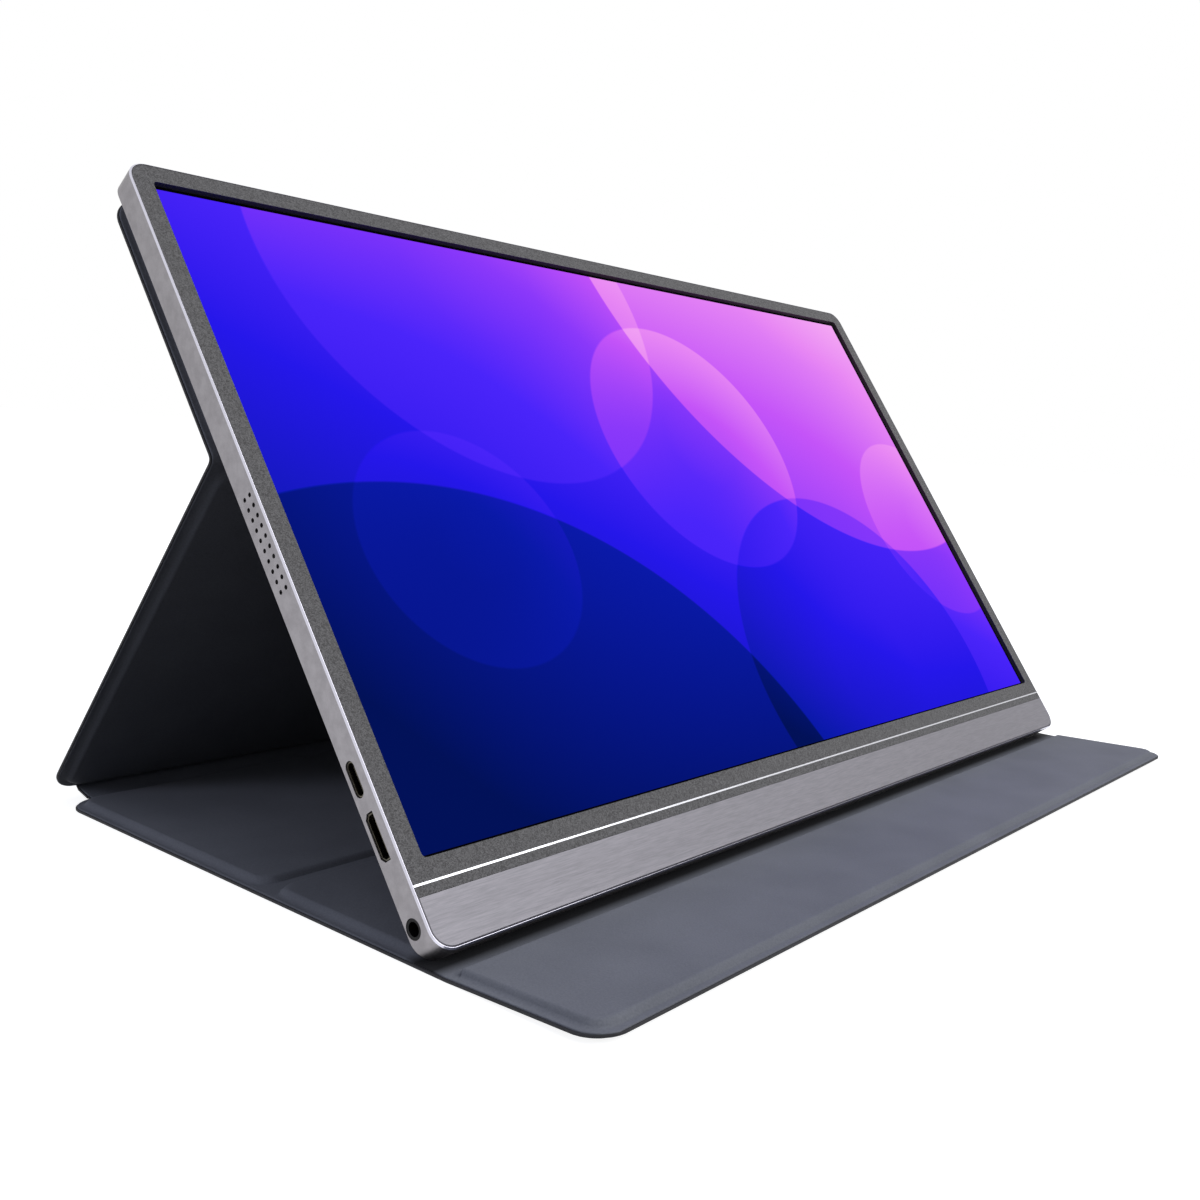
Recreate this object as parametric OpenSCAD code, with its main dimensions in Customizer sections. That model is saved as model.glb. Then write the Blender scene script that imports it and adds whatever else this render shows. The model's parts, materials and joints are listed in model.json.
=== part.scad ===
// A 15.6 inch portable monitor standing on its folding cover.
// Millimetres. X runs across the monitor, Y from the front to the back, Z up from the table.
// The origin is on the table, under the middle of the monitor's bottom front edge.

/* [Screen] */
// Width of the picture
screen_w = 344.2; // [300:0.1:380]
// Height of the picture
screen_h = 193.6; // [170:0.1:230]
// From the side of the body to the picture
side_border = 6.6; // [6.4:0.1:14]
// From the top of the body to the picture
top_border = 6.2; // [5.9:0.1:14]
// From the bottom of the body to the picture
bottom_border = 22.6; // [21:0.1:30]

/* [Monitor body] */
// Depth of the straight side wall
side_t = 7.8; // [7.6:0.1:8.2]
// Depth of the whole body
body_t = 9.8; // [9.7:0.1:11]
// Radius of the body's corners
corner_r = 6; // [5.5:0.1:10]
// Thickness of the side walls
side_wall = 1.2; // [1.1:0.05:1.5]
// Thickness of the rear wall
rear_wall = 0.8; // [0.6:0.05:1]
// Width of the polished chamfer round the front
chamfer_w = 0.4; // [0.2:0.05:0.45]
// Depth of the polished chamfer
chamfer_d = 0.4; // [0.2:0.05:1.2]
// Width of the metal edge round the front trim
front_rim = 0.5; // [0.5:0.05:0.8]
// How far the rear edge is bevelled inwards
rear_bevel = 5; // [3:0.1:5.2]
// Width of the ledge that the front trim lies on
ledge_w = 2; // [1:0.1:2.5]

/* [Front trim] */
// Thickness of the bezel and the chin
trim_t = 1.7; // [1.4:0.05:1.7]
// Height of the metal chin's top edge
chin_h = 13.6; // [12.5:0.1:15]
// Height of the bright line
accent_v = 16.5; // [16:0.1:18]
// Width of the bright line
accent_w = 0.5; // [0.3:0.05:1.2]
// Gap round each trim piece
trim_gap = 0.1; // [0.08:0.01:0.15]
// From the picture to the edge of the bezel's window
window_gap = 0.45; // [0.2:0.05:0.8]

/* [Ports and controls] */
// How far behind the front face the ports are centred
port_n = 4.9; // [4.8:0.05:5]
// Height of the headphone socket
jack_v = 8; // [7.8:0.1:9.5]
// Radius of the headphone socket's hole
jack_bore_r = 1.8; // [1.75:0.01:1.9]
// Radius of the headphone socket's collar
jack_collar_r = 2.5; // [2.4:0.05:2.6]
// Height of the mini HDMI socket
hdmi_v = 30.7; // [29:0.1:32]
// Height of both USB-C sockets
usb_v = 45.4; // [44:0.1:47]
// Height of the menu wheel
wheel_v = 62; // [60:0.1:64]
// Radius of the menu wheel
wheel_r = 3.2; // [3:0.05:3.2]
// Height of the power button
button_v = 76; // [74.5:0.1:77]
// Travel of the power button and of the menu wheel
press_travel = 0.4; // [0.2:0.05:0.45]
// Height of the middle of the speaker holes
speaker_v = 108.3; // [102:0.1:120]
// Distance between speaker holes
speaker_pitch = 2.88; // [2.4:0.02:3.2]
// Radius of one speaker hole
speaker_hole_r = 0.6; // [0.4:0.05:0.7]

/* [Stand] */
// How far the monitor leans back from upright, in degrees
tilt = 36; // [30:0.5:38]
// Height on the monitor's back where the cover folds out
fold_v = 137.5; // [132:0.1:142]
// Gap under the monitor's foot and behind its back
seat_gap = 0.15; // [0.1:0.01:0.3]

/* [Cover] */
// How much narrower the cover is than the monitor on each side
cover_inset = 0.4; // [0:0.1:3]
// Radius of the cover's corners
cover_r = 8.5; // [6:0.1:12]
// Thickness of the outer skin
skin_t = 0.55; // [0.4:0.05:0.7]
// Thickness of the inner lining
lining_t = 0.55; // [0.4:0.05:0.7]
// Thickness of the stiffening boards
board_t = 1.7; // [1.4:0.1:2]
// Width of the flat welded rim
rim_w = 2.4; // [2:0.1:6]
// Width of the rounded shoulder of each pad
shoulder_w = 2.2; // [1.5:0.1:2.6]
// From a crease to the foot of the pad beside it
crease_w = 2.2; // [2:0.1:4]
// Length of the flap in front of the monitor
flap_len = 46.5; // [35:0.5:60]
// How far the front flap rises from the table, in degrees
flap_lift = 2.1; // [0:0.1:4]
// Length of the middle panel with the groove that the monitor stands in
middle_len = 72; // [61:0.5:80]
// Width of the groove that the monitor stands in
seat_w = 10.5; // [10.4:0.1:13]
// Length of the rear floor panel
rear_len = 101.5; // [99:0.1:104]
// Length of the spine between the floor and the support
spine_len = 10; // [9.5:0.1:12]
// How far the spine stands in from the cover's sides
spine_inset = 8.5; // [5:0.1:10]
// From the top of the monitor down to the cover's top edge
back_drop = 2.2; // [1:0.1:12]
// Gap between the folding leaves of a crease
leaf_gap = 0.4; // [0.4:0.05:0.6]
// Gap beside the front flap's crease
flap_gap = 0.15; // [0.1:0.01:0.3]

/* [Hidden] */
$fn = 48;
hull_fn = 32;

// Colours
SKIN = [0.16, 0.16, 0.18];
LINING = [0.42, 0.43, 0.46];
GREYBOARD = [0.62, 0.57, 0.48];
MAGNET = [0.72, 0.73, 0.75];
ALUMINIUM = [0.58, 0.57, 0.58];
BEZEL = [0.36, 0.36, 0.36];
BRIGHT = [0.93, 0.93, 0.95];
BLACK = [0.05, 0.05, 0.06];
GLASS = [0.12, 0.12, 0.55];
FILM = [0.93, 0.93, 0.9];
BOARD_GREEN = [0.1, 0.32, 0.2];
RIBBON = [0.62, 0.42, 0.16];
STEEL = [0.66, 0.67, 0.69];

// Sizes of the monitor
mon_w = screen_w + 2 * side_border;
mon_h = bottom_border + screen_h + top_border;
inner_w = mon_w - 2 * side_wall;
inner_h = mon_h - 2 * side_wall;
inner_r = corner_r - side_wall;
rebate_w = mon_w - 2 * front_rim;          // the rebate that holds the front trim
rebate_h = mon_h - 2 * front_rim;
rebate_r = corner_r - front_rim;
floor_n = body_t - rear_wall;              // depth of the rear wall's inner face
inner_bevel = rear_bevel * (floor_n - side_t) / (body_t - side_t);

// Depths of the layers behind the front face, from front to back
trim_back = 0.1 + trim_t;
ledge_n = trim_back + 0.05;
ledge_t = 1;
tape_t = 0.16;
cell_n = trim_back + tape_t;
cell_t = 1.1;
film_n = cell_n + cell_t + 0.04;
film_t = 0.35;
guide_n = film_n + film_t + 0.02;
guide_t = 0.6;
tray_n = guide_n + guide_t + 0.04;
tray_t = 0.3;
module_back = tray_n + tray_t;
module_border = 1.5;
module_chin = 5;
module_w = screen_w + 2 * module_border;
module_v = bottom_border - module_chin;
module_h = screen_h + module_chin + module_border;
tray_wall = 0.3;
led_w = 1.7;

// The circuit boards behind the screen
port_half = 1.6;                           // half the depth of a socket's case
board_n = port_n + port_half + 0.05;
pcb_t = 1;
pcb_edge = 2.2;                            // from the body's side to a board's edge
pcb_len = 66;
main_v = [3.6, 54];
control_v = [38, 84];
boss_r = 2.2;
boss_hole_r = 0.8;
screw_r = 0.75;
screw_head_r = 1.8;
screw_head_t = 0.5;
screw_len = floor_n - board_n - 0.25;
main_screws = [[-mon_w/2 + 12, 18], [-mon_w/2 + 50, 12], [-mon_w/2 + 60, 47]];
control_screws = [[mon_w/2 - 60, 46], [mon_w/2 - 60, 79], [mon_w/2 - 14, 55]];
main_chips = [[40, 32, 14, 14], [24, 24, 7, 9], [54, 37, 5, 5]];
control_chip = [40, 62, 10, 10];

jack_depth = 12;
jack_w = 6;

// Speakers, wheel and button
speaker_rows = 2;
speaker_columns = 10;
speaker_row_gap = 2.55;
speaker_n = 3.75;
wheel_t = 1.6;
wheel_depth = wheel_r - 0.7;               // from the body's side to the wheel's axle
wheel_bore_r = 0.8;
axle_r = 0.75;
cheek_gap = 0.1;
cheek_t = 0.6;
cheek_r = wheel_depth - side_wall - 0.1;
wheel_n = module_back + 0.15 + cheek_t + cheek_gap + wheel_t/2;
button_l = 8;
button_t = 2.4;
button_out = 0.4;
button_flange = 0.8;

// Sizes of the cover
rim_t = skin_t + lining_t;
panel_t = skin_t + board_t + lining_t;
cover_w = mon_w - 2 * cover_inset;
spine_w = cover_w - 2 * spine_inset;
flap_y = -2;                               // the front flap's crease
rear_y = flap_y + middle_len + rear_len;   // the crease behind the floor panels
support_slack = 2.5;                       // how much longer the support is than the fold is high
support_len = fold_v + support_slack;
back_len = mon_h - fold_v - back_drop;
crease_r = shoulder_w + 0.4;               // radius of a pad's foot at its corners beside a crease
pad_r = max(cover_r - rim_w, crease_r);    // and at its other corners
board_inset = rim_w + shoulder_w + 0.1;
board_r = cover_r - board_inset;

// The stand's triangle, as [Y, Z] points
mon_z = rim_t + seat_gap + side_t * sin(tilt);
function on_monitor(v, n) = [v * sin(tilt) + n * cos(tilt), mon_z + v * cos(tilt) - n * sin(tilt)];
fold_n = body_t + seat_gap + panel_t - skin_t;
fold_point = on_monitor(fold_v, fold_n);
rear_point = [rear_y, skin_t];
to_fold = fold_point - rear_point;
fold_dist = norm(to_fold);
spine_angle = atan2(to_fold[1], to_fold[0])
    - acos((fold_dist^2 + spine_len^2 - support_len^2) / (2 * fold_dist * spine_len));
spine_point = rear_point + spine_len * [cos(spine_angle), sin(spine_angle)];
support_angle = atan2(fold_point[1] - spine_point[1], fold_point[0] - spine_point[0]);
back_angle = 90 - tilt;

// Magnets and the steel plates that they hold
magnet_size = [40, 8, 1.2];
magnet_side = 40.3;                        // from the monitor's side to the outer magnets
magnet_step = 67;                          // from the outer magnets to the inner ones
magnet_xs = [for (x = [-1, 1], step = [0, 1]) x * (mon_w/2 - magnet_side - step * magnet_step)];
magnet_ys = [22.7, back_len - 17.6];       // from the fold
flap_magnet_side = 30.3;
flap_magnet_xs = [-mon_w/2 + flap_magnet_side, mon_w/2 - flap_magnet_side];
plate_size = [44, 12, 0.6];
rib_w = 3;
rib_xs = [for (x = [-1, 1], step = [0.5, 1.5]) x * (mon_w/2 - magnet_side - step * magnet_step - rib_w/2)];
rib_v = [86, mon_h - 16.9];

// ---------------------------------------------------------------- places

module in_monitor() translate([0, 0, mon_z]) rotate([back_angle, 0, 0]) children();
module in_spine() translate([0, rear_point[0], rear_point[1]]) rotate([spine_angle, 0, 0]) children();
module in_support() translate([0, spine_point[0], spine_point[1]]) rotate([support_angle, 0, 0]) children();
module in_back() translate([0, fold_point[0], fold_point[1]]) rotate([back_angle, 0, 0]) children();
module in_flap() translate([0, flap_y, skin_t]) rotate([-flap_lift, 0, 0]) mirror([0, 1, 0]) children();
module in_base() translate([0, flap_y, skin_t]) children();

// On a side wall of the monitor: z points out of the wall, y up along it, x to the monitor's back
module on_side(side, v, n) translate([side * mon_w/2, v, -n])
    mirror([side < 0 ? 1 : 0, 0, 0]) rotate([0, 90, 0]) children();

// ---------------------------------------------------------------- shared shapes

// A rectangle from y = 0 to h, centred on x, with four round corners
module round_plan(w, h, r) {
    translate([-w/2, r]) square([w, h - 2*r]);
    translate([-w/2 + r, 0]) square([w - 2*r, h]);
    for (x = [-1, 1], y = [r, h - r]) translate([x * (w/2 - r), y]) circle(r);
}

// A plate between two depths whose outline shrinks by inset from the first to the second
module bevelled_plate(w, h, r, inset, z0, z1) {
    translate([-w/2 + r, 0, 0]) rotate([90, 0, 90]) linear_extrude(w - 2*r)
        polygon([[0, z0], [h, z0], [h - inset, z1], [inset, z1]]);
    translate([0, h - r, 0]) rotate([90, 0, 0]) linear_extrude(h - 2*r)
        polygon([[-w/2, z0], [w/2, z0], [w/2 - inset, z1], [inset - w/2, z1]]);
    for (x = [-1, 1], y = [r, h - r]) translate([x * (w/2 - r), y, min(z0, z1)])
        cylinder(h = abs(z1 - z0), r1 = z1 > z0 ? r : r - inset, r2 = z1 > z0 ? r - inset : r);
}

// A slot with round ends, l long in y and w wide in x
module pill(l, w) {
    translate([-w/2, -(l - w)/2]) square([w, l - w]);
    for (y = [-1, 1]) translate([0, y * (l - w)/2]) circle(w/2);
}

module box(x, y, z) translate([x[0], y[0], z[0]]) cube([x[1] - x[0], y[1] - y[0], z[1] - z[0]]);

// ---------------------------------------------------------------- cover

// Outline of a cover panel from y = 0 to len; ra and rb round its near and far corners
module panel_plan(w, len, ra, rb) {
    translate([-w/2, ra]) square([w, len - ra - rb]);
    if (ra > 0) {
        translate([-w/2 + ra, 0]) square([w - 2*ra, ra]);
        for (x = [-1, 1]) translate([x * (w/2 - ra), ra]) circle(ra);
    }
    if (rb > 0) {
        translate([-w/2 + rb, len - rb]) square([w - 2*rb, rb]);
        for (x = [-1, 1]) translate([x * (w/2 - rb), len - rb]) circle(rb);
    }
}

// The skin of one panel. Its round near edge turns on the crease; the crease lies at skin_t above it.
module skin_sheet(w, len, ra, rb, roll_w) {
    translate([0, 0, -skin_t]) linear_extrude(skin_t) panel_plan(w, len, ra, rb);
    intersection() {
        rotate([0, 90, 0]) cylinder(h = roll_w, r = skin_t, center = true);
        box([-roll_w/2, roll_w/2], [-skin_t, 0], [-skin_t, skin_t]);
    }
}

// A pad whose shoulder rises in a quarter round. Its foot runs from y0, with corners of radius r0,
// to y1, with corners of radius r1.
module pad(y0, y1, r0, r1) {
    steps = 4;
    hull() for (x = [-1, 1], end = [[y0 + r0, r0], [y1 - r1, r1]], k = [0 : steps]) {
        angle = 90 * k / steps;
        translate([x * (cover_w/2 - rim_w - end[1]), end[0], 0])
            cylinder(h = lining_t + board_t * sin(angle), r = end[1] - shoulder_w * (1 - cos(angle)),
                     $fn = hull_fn);
    }
}

// The board inside a pad whose foot runs from y0 to y1
module board_in(y0, y1) {
    inset = board_inset - rim_w;
    translate([0, y0 + inset, 0]) linear_extrude(board_t)
        round_plan(cover_w - 2 * board_inset, y1 - y0 - 2 * inset, board_r);
}

module base_skin() color(SKIN) in_base() {
    len = middle_len + rear_len - skin_t - leaf_gap;
    translate([0, skin_t + flap_gap, -skin_t]) linear_extrude(skin_t)
        panel_plan(cover_w, len - skin_t - flap_gap, 0, cover_r);
}

// The floor's lining is one sheet, in three stretches: under the monitor's foot, and on each panel
seat_plan = [skin_t + flap_gap, seat_w];
middle_plan = [seat_w, middle_len];
rear_plan = [middle_len, middle_len + rear_len - skin_t - leaf_gap];
middle_pad = [seat_w, middle_len - crease_w];
rear_pad = [middle_len + crease_w, middle_len + rear_len - crease_w];

// One stretch of the floor's lining with its pad: the corners at its rear end have the radius rear_r
module floor_lining(plan, pad_y, rear_r) color(LINING) in_base() difference() {
    union() {
        translate([0, plan[0], 0]) linear_extrude(lining_t)
            panel_plan(cover_w, plan[1] - plan[0], 0, rear_r);
        pad(pad_y[0], pad_y[1], crease_r, rear_r > 0 ? pad_r : crease_r);
    }
    board_in(pad_y[0], pad_y[1]);
}

module seat_lining() color(LINING) in_base()
    translate([0, seat_plan[0], 0]) linear_extrude(lining_t)
        panel_plan(cover_w, seat_plan[1] - seat_plan[0], 0, 0);
module middle_lining() floor_lining(middle_plan, middle_pad, 0);
module rear_lining() floor_lining(rear_plan, rear_pad, cover_r);
module middle_board() color(GREYBOARD) in_base() board_in(middle_pad[0], middle_pad[1]);
module rear_board() color(GREYBOARD) in_base() board_in(rear_pad[0], rear_pad[1]);

// One panel that turns on a crease at y = 0: its pad runs from y0 to y1
module panel_lining(len, y0, y1, ra, rb) difference() {
    union() {
        linear_extrude(lining_t) panel_plan(cover_w, len, ra, rb);
        pad(y0, y1, ra > 0 ? pad_r : crease_r, rb > 0 ? pad_r : crease_r);
    }
    board_in(y0, y1);
}

flap_pad = [0.8, flap_len - rim_w];         // the pad begins at the crease itself
module flap_magnet_blocks(grow = 0) for (x = flap_magnet_xs)
    translate([x, flap_pad[1] - 8 - magnet_size[1]/2, board_t/2])
        cube(magnet_size + [grow, grow, 2 * grow + board_t * sign(grow)], center = true);
module flap_skin() color(SKIN) in_flap() skin_sheet(cover_w, flap_len, 0, cover_r, cover_w);
module flap_lining() color(LINING) in_flap() panel_lining(flap_len, flap_pad[0], flap_pad[1], 0, cover_r);
module flap_board() color(GREYBOARD) in_flap() difference() {
    board_in(flap_pad[0], flap_pad[1]);
    flap_magnet_blocks(0.1);
}
module flap_magnets() color(MAGNET) in_flap() flap_magnet_blocks();

module spine_skin() color(SKIN) in_spine()
    skin_sheet(spine_w, spine_len - skin_t - leaf_gap, 0, 0, spine_w);
module spine_lining() color(LINING) in_spine()
    linear_extrude(lining_t) panel_plan(spine_w, spine_len - skin_t - leaf_gap, 0, 0);

support_pad = [crease_w, support_len - crease_w];
module support_skin() color(SKIN) in_support()
    skin_sheet(cover_w, support_len - skin_t - leaf_gap, cover_r, 0, spine_w);
module support_lining() color(LINING) in_support()
    panel_lining(support_len - skin_t - leaf_gap, support_pad[0], support_pad[1], cover_r, 0);
module support_board() color(GREYBOARD) in_support() board_in(support_pad[0], support_pad[1]);

back_pad = [crease_w, back_len - rim_w];
module back_magnet_blocks(grow = 0) for (x = magnet_xs, y = magnet_ys)
    translate([x, y, board_t/2])
        cube(magnet_size + [grow, grow, 2 * grow + board_t * sign(grow)], center = true);
module back_skin() color(SKIN) in_back() skin_sheet(cover_w, back_len, 0, cover_r, cover_w);
module back_lining() color(LINING) in_back() panel_lining(back_len, back_pad[0], back_pad[1], 0, cover_r);
module back_board() color(GREYBOARD) in_back() difference() {
    board_in(back_pad[0], back_pad[1]);
    back_magnet_blocks(0.1);
}
module back_magnets() color(MAGNET) in_back() back_magnet_blocks();

// ---------------------------------------------------------------- monitor: shell and trim

module side_holes(side) {
    rows = [for (j = [0 : speaker_rows - 1]) (j - (speaker_rows - 1)/2) * speaker_row_gap];
    ys = [for (i = [0 : speaker_columns - 1]) (i - (speaker_columns - 1)/2) * speaker_pitch];
    on_side(side, speaker_v, speaker_n) for (x = rows, y = ys)
        translate([x, y, -side_wall - ledge_w - 0.5])
            cylinder(h = side_wall + ledge_w + 1, r = speaker_hole_r, $fn = 16);
    on_side(side, usb_v, port_n) translate([0, 0, -2]) linear_extrude(3) pill(9.3, 3.4);
}

module shell_body() {
    translate([0, 0, -side_t]) linear_extrude(side_t - chamfer_d) round_plan(mon_w, mon_h, corner_r);
    bevelled_plate(mon_w, mon_h, corner_r, chamfer_w, -chamfer_d, 0);
    bevelled_plate(mon_w, mon_h, corner_r, rear_bevel, -side_t, -body_t);
}

module shell_cavity() translate([0, side_wall, 0]) {
    translate([0, 0, -side_t]) linear_extrude(side_t + 1) round_plan(inner_w, inner_h, inner_r);
    bevelled_plate(inner_w, inner_h, inner_r, inner_bevel, -side_t, -floor_n);
}

module trim_ledge() translate([0, side_wall - 0.2, -ledge_n - ledge_t]) linear_extrude(ledge_t)
    difference() {
        round_plan(inner_w + 0.4, inner_h + 0.4, inner_r + 0.2);
        translate([0, ledge_w + 0.2]) round_plan(inner_w - 2*ledge_w, inner_h - 2*ledge_w, inner_r - ledge_w);
    }

module bosses(points) for (p = points) translate([p[0], p[1], -floor_n - 0.3]) difference() {
    cylinder(h = floor_n + 0.3 - board_n - pcb_t - 0.02, r = boss_r);
    translate([0, 0, 0.3]) cylinder(h = floor_n, r = boss_hole_r, $fn = 24);
}

module rear_shell() color(ALUMINIUM) in_monitor() difference() {
    union() {
        difference() {
            shell_body();
            shell_cavity();
            translate([0, front_rim, -ledge_n]) linear_extrude(ledge_n + 1)
                round_plan(rebate_w, rebate_h, rebate_r);
        }
        trim_ledge();
        bosses(concat(main_screws, control_screws));
        for (x = rib_xs) box([x - rib_w/2, x + rib_w/2], rib_v, [-floor_n - 0.3, -module_back - 0.1]);
    }
    for (side = [-1, 1]) side_holes(side);
    on_side(-1, hdmi_v, port_n) translate([0, 0, -2]) linear_extrude(3) hdmi_plan(12.2, 3.5);
    on_side(-1, jack_v, port_n) translate([0, 0, -side_wall - ledge_w - 0.5])
        cylinder(h = side_wall + ledge_w + 1, r = jack_collar_r + 0.1);
    on_side(1, button_v, port_n) translate([0, 0, -2])
        linear_extrude(3) pill(button_l + 0.24, button_t + 0.24);
    on_side(1, wheel_v, wheel_n) translate([0, 0, -2])
        linear_extrude(3) pill(2 * wheel_r + 0.8, wheel_t + 0.5);
}

window_r = 1.3;
module front_bezel() color(BEZEL) in_monitor() difference() {
    translate([0, 0, -trim_back]) linear_extrude(trim_t) difference() {
        translate([0, front_rim + trim_gap])
            round_plan(rebate_w - 2*trim_gap, rebate_h - 2*trim_gap, rebate_r - trim_gap);
        translate([-mon_w/2, 0]) square([mon_w, chin_h + trim_gap]);
        translate([0, bottom_border - window_gap])
            round_plan(screen_w + 2*window_gap, screen_h + 2*window_gap, window_r);
    }
    box([-mon_w/2, mon_w/2], [accent_v - accent_w/2 - 0.03, accent_v + accent_w/2 + 0.03], [-0.55, 1]);
}

module accent_strip() color(BRIGHT) in_monitor()
    box([-rebate_w/2 + 2*trim_gap, rebate_w/2 - 2*trim_gap],
        [accent_v - accent_w/2, accent_v + accent_w/2], [-0.5, -0.04]);

module chin_trim() color(ALUMINIUM) in_monitor() {
    plate_w = rebate_w - 2*trim_gap;
    plate_h = rebate_h - 2*trim_gap;
    plate_r = rebate_r - trim_gap;
    chin_chamfer = 0.35;
    intersection() {
        translate([0, front_rim + trim_gap, 0]) {
            translate([0, 0, -trim_back]) linear_extrude(trim_back - chin_chamfer)
                round_plan(plate_w, plate_h, plate_r);
            bevelled_plate(plate_w, plate_h, plate_r, chin_chamfer, -chin_chamfer, -0.02);
        }
        box([-mon_w/2, mon_w/2], [0, chin_h], [-trim_back, 0]);
    }
}

tape_gap = window_gap + 0.15;
module bezel_tape() color(BLACK) in_monitor() translate([0, 0, -cell_n]) linear_extrude(tape_t)
    difference() {
        translate([-module_w/2, module_v]) square([module_w, module_h]);
        translate([0, bottom_border - tape_gap])
            round_plan(screen_w + 2*tape_gap, screen_h + 2*tape_gap, window_r);
    }

// ---------------------------------------------------------------- monitor: display module

module module_sheet(n, t, side_in, bottom_in) {
    w = module_w - 2*side_in;
    translate([-w/2, module_v + bottom_in, -n - t]) cube([w, module_h - bottom_in - side_in, t]);
}

module lcd_cell() color(GLASS) in_monitor() module_sheet(cell_n, cell_t, 0, 0);
module optical_films() color(FILM) in_monitor()
    module_sheet(film_n, film_t, tray_wall + 0.2, tray_wall + led_w + 0.6);
module light_guide() color(FILM) in_monitor()
    module_sheet(guide_n, guide_t, tray_wall + 0.2, tray_wall + led_w + 0.6);
module led_bar() color(FILM) in_monitor()
    box([-module_w/2 + 1, module_w/2 - 1],
        [module_v + tray_wall + 0.2, module_v + tray_wall + 0.2 + led_w],
        [-guide_n - guide_t, -film_n - 0.1]);
module backlight_tray() color(STEEL) in_monitor() difference() {
    module_sheet(cell_n + cell_t + 0.02, module_back - cell_n - cell_t - 0.02, 0, 0);
    module_sheet(cell_n, tray_n - cell_n, tray_wall, tray_wall);
}

driver_w = 200;
driver_h = 11;
driver_v = module_v + 1;
driver_n = module_back + 0.05;
driver_t = 0.8;
module panel_driver_board() color(BOARD_GREEN) in_monitor()
    translate([-driver_w/2, driver_v, -driver_n - driver_t]) cube([driver_w, driver_h, driver_t]);

// ---------------------------------------------------------------- monitor: electronics

ribbon_t = 0.15;
ribbon_n = driver_n + driver_t + 0.05;     // front face of the ribbon to the screen
main_x = [-mon_w/2 + pcb_edge, -mon_w/2 + pcb_len];
control_x = [mon_w/2 - pcb_len, mon_w/2 - pcb_edge];
ribbon_v = [driver_v + 1, driver_v + driver_h - 2];
connector_l = 6;                           // length of the ribbon's connector on the main board
connector_in = 14;                         // from the main board's edge to that connector
connector_x = main_x[1] - connector_in;
ribbon_lap = 12;                           // length of the ribbon under the panel's own board

module panel_ribbon() color(RIBBON) in_monitor()
    box([connector_x, -driver_w/2 + ribbon_lap], ribbon_v, [-ribbon_n - ribbon_t, -ribbon_n]);

module chip(x, v, w, h) translate([x - w/2, v - h/2, -board_n]) cube([w, h, 0.7]);

module board_plate(x, v, screws) difference() {
    box(x, v, [-board_n - pcb_t, -board_n]);
    for (p = screws) translate([p[0], p[1], -board_n - pcb_t - 1])
        cylinder(h = pcb_t + 2, r = screw_r + 0.15, $fn = 24);
}

module main_board() color(BOARD_GREEN) in_monitor() {
    difference() {
        board_plate(main_x, main_v, main_screws);
        // The headphone socket is sunk into the board
        box([-mon_w/2, -mon_w/2 + jack_depth + 0.3], [jack_v - jack_w/2 - 0.2, jack_v + jack_w/2 + 0.2],
            [-board_n - pcb_t - 1, 0]);
    }
    for (c = main_chips) chip(c[0] - mon_w/2, c[1], c[2], c[3]);
    box([connector_x, connector_x + connector_l], ribbon_v, [-board_n, -ribbon_n - ribbon_t]);
}

module control_board() color(BOARD_GREEN) in_monitor() {
    difference() {
        board_plate(control_x, control_v, control_screws);
        box([mon_w/2 - 12, mon_w/2], [wheel_v - 5.6, wheel_v + 5.6], [-board_n - pcb_t - 1, 0]);
    }
    chip(mon_w/2 - control_chip[0], control_chip[1], control_chip[2], control_chip[3]);
    // The button's switch, and the wheel's switch across the notch
    on_side(1, button_v, port_n)
        box([module_back + 0.1 - port_n, board_n - port_n], [-2.4, 2.4], [-6.6, -3.1 - press_travel]);
    on_side(1, wheel_v, wheel_n)
        box([-0.9, board_n - wheel_n + 0.4], [-2.4, 2.4],
            [-13, -wheel_depth - wheel_r - 0.8 - press_travel]);
}

plug_len = 8;
module board_ribbon() color(RIBBON) in_monitor() {
    v = [6, 14];
    x = [main_x[1] - 4, control_x[0] + 4];
    box(x, v, [-floor_n + 0.05, -floor_n + 0.05 + ribbon_t]);
    box([x[0] - plug_len, x[0]], v, [-floor_n + 0.05, -board_n - pcb_t - 0.05]);
    // The far plug rises beside the control board
    box([x[1], x[1] + plug_len], v, [-floor_n + 0.05, -board_n - pcb_t - 0.05]);
    box([x[1], x[1] + plug_len], [v[1], control_v[0] + 3], [-floor_n + 0.05, -floor_n + 0.05 + ribbon_t]);
    box([x[1], x[1] + plug_len], [control_v[0] - 3, control_v[0] + 3],
        [-floor_n + 0.05, -board_n - pcb_t - 0.05]);
}

module board_screws() color(STEEL) in_monitor() for (p = concat(main_screws, control_screws))
    translate([p[0], p[1], -board_n + 0.03]) {
        cylinder(h = screw_head_t, r = screw_head_r);
        translate([0, 0, -screw_len]) cylinder(h = screw_len + 0.1, r = screw_r, $fn = 24);
    }

usb_l = 8.9;
usb_t = 3.1;
socket_depth = 4.5;
socket_recess = 0.35;
case_t = 0.3;
tongue_in = 0.9;                           // from a socket's mouth to its tongue
tongue_l = socket_depth - tongue_in - 0.5;

// A USB-C socket: a steel case with round ends round a flat tongue
module usb_c_socket() translate([0, 0, -socket_recess - socket_depth]) {
    difference() {
        linear_extrude(socket_depth) pill(usb_l, usb_t);
        translate([0, 0, 0.8]) linear_extrude(socket_depth) pill(usb_l - 2*case_t, usb_t - 2*case_t);
    }
    translate([0, 0, 0.5]) linear_extrude(tongue_l) translate([-0.35, -3.3]) square([0.7, 6.6]);
}

// Outline of a mini HDMI socket: its rear corners are cut away
module hdmi_plan(l, t) polygon([[-t/2, -l/2], [t * 0.15, -l/2], [t/2, -l/2 + t * 0.35],
                                [t/2, l/2 - t * 0.35], [t * 0.15, l/2], [-t/2, l/2]]);

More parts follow.
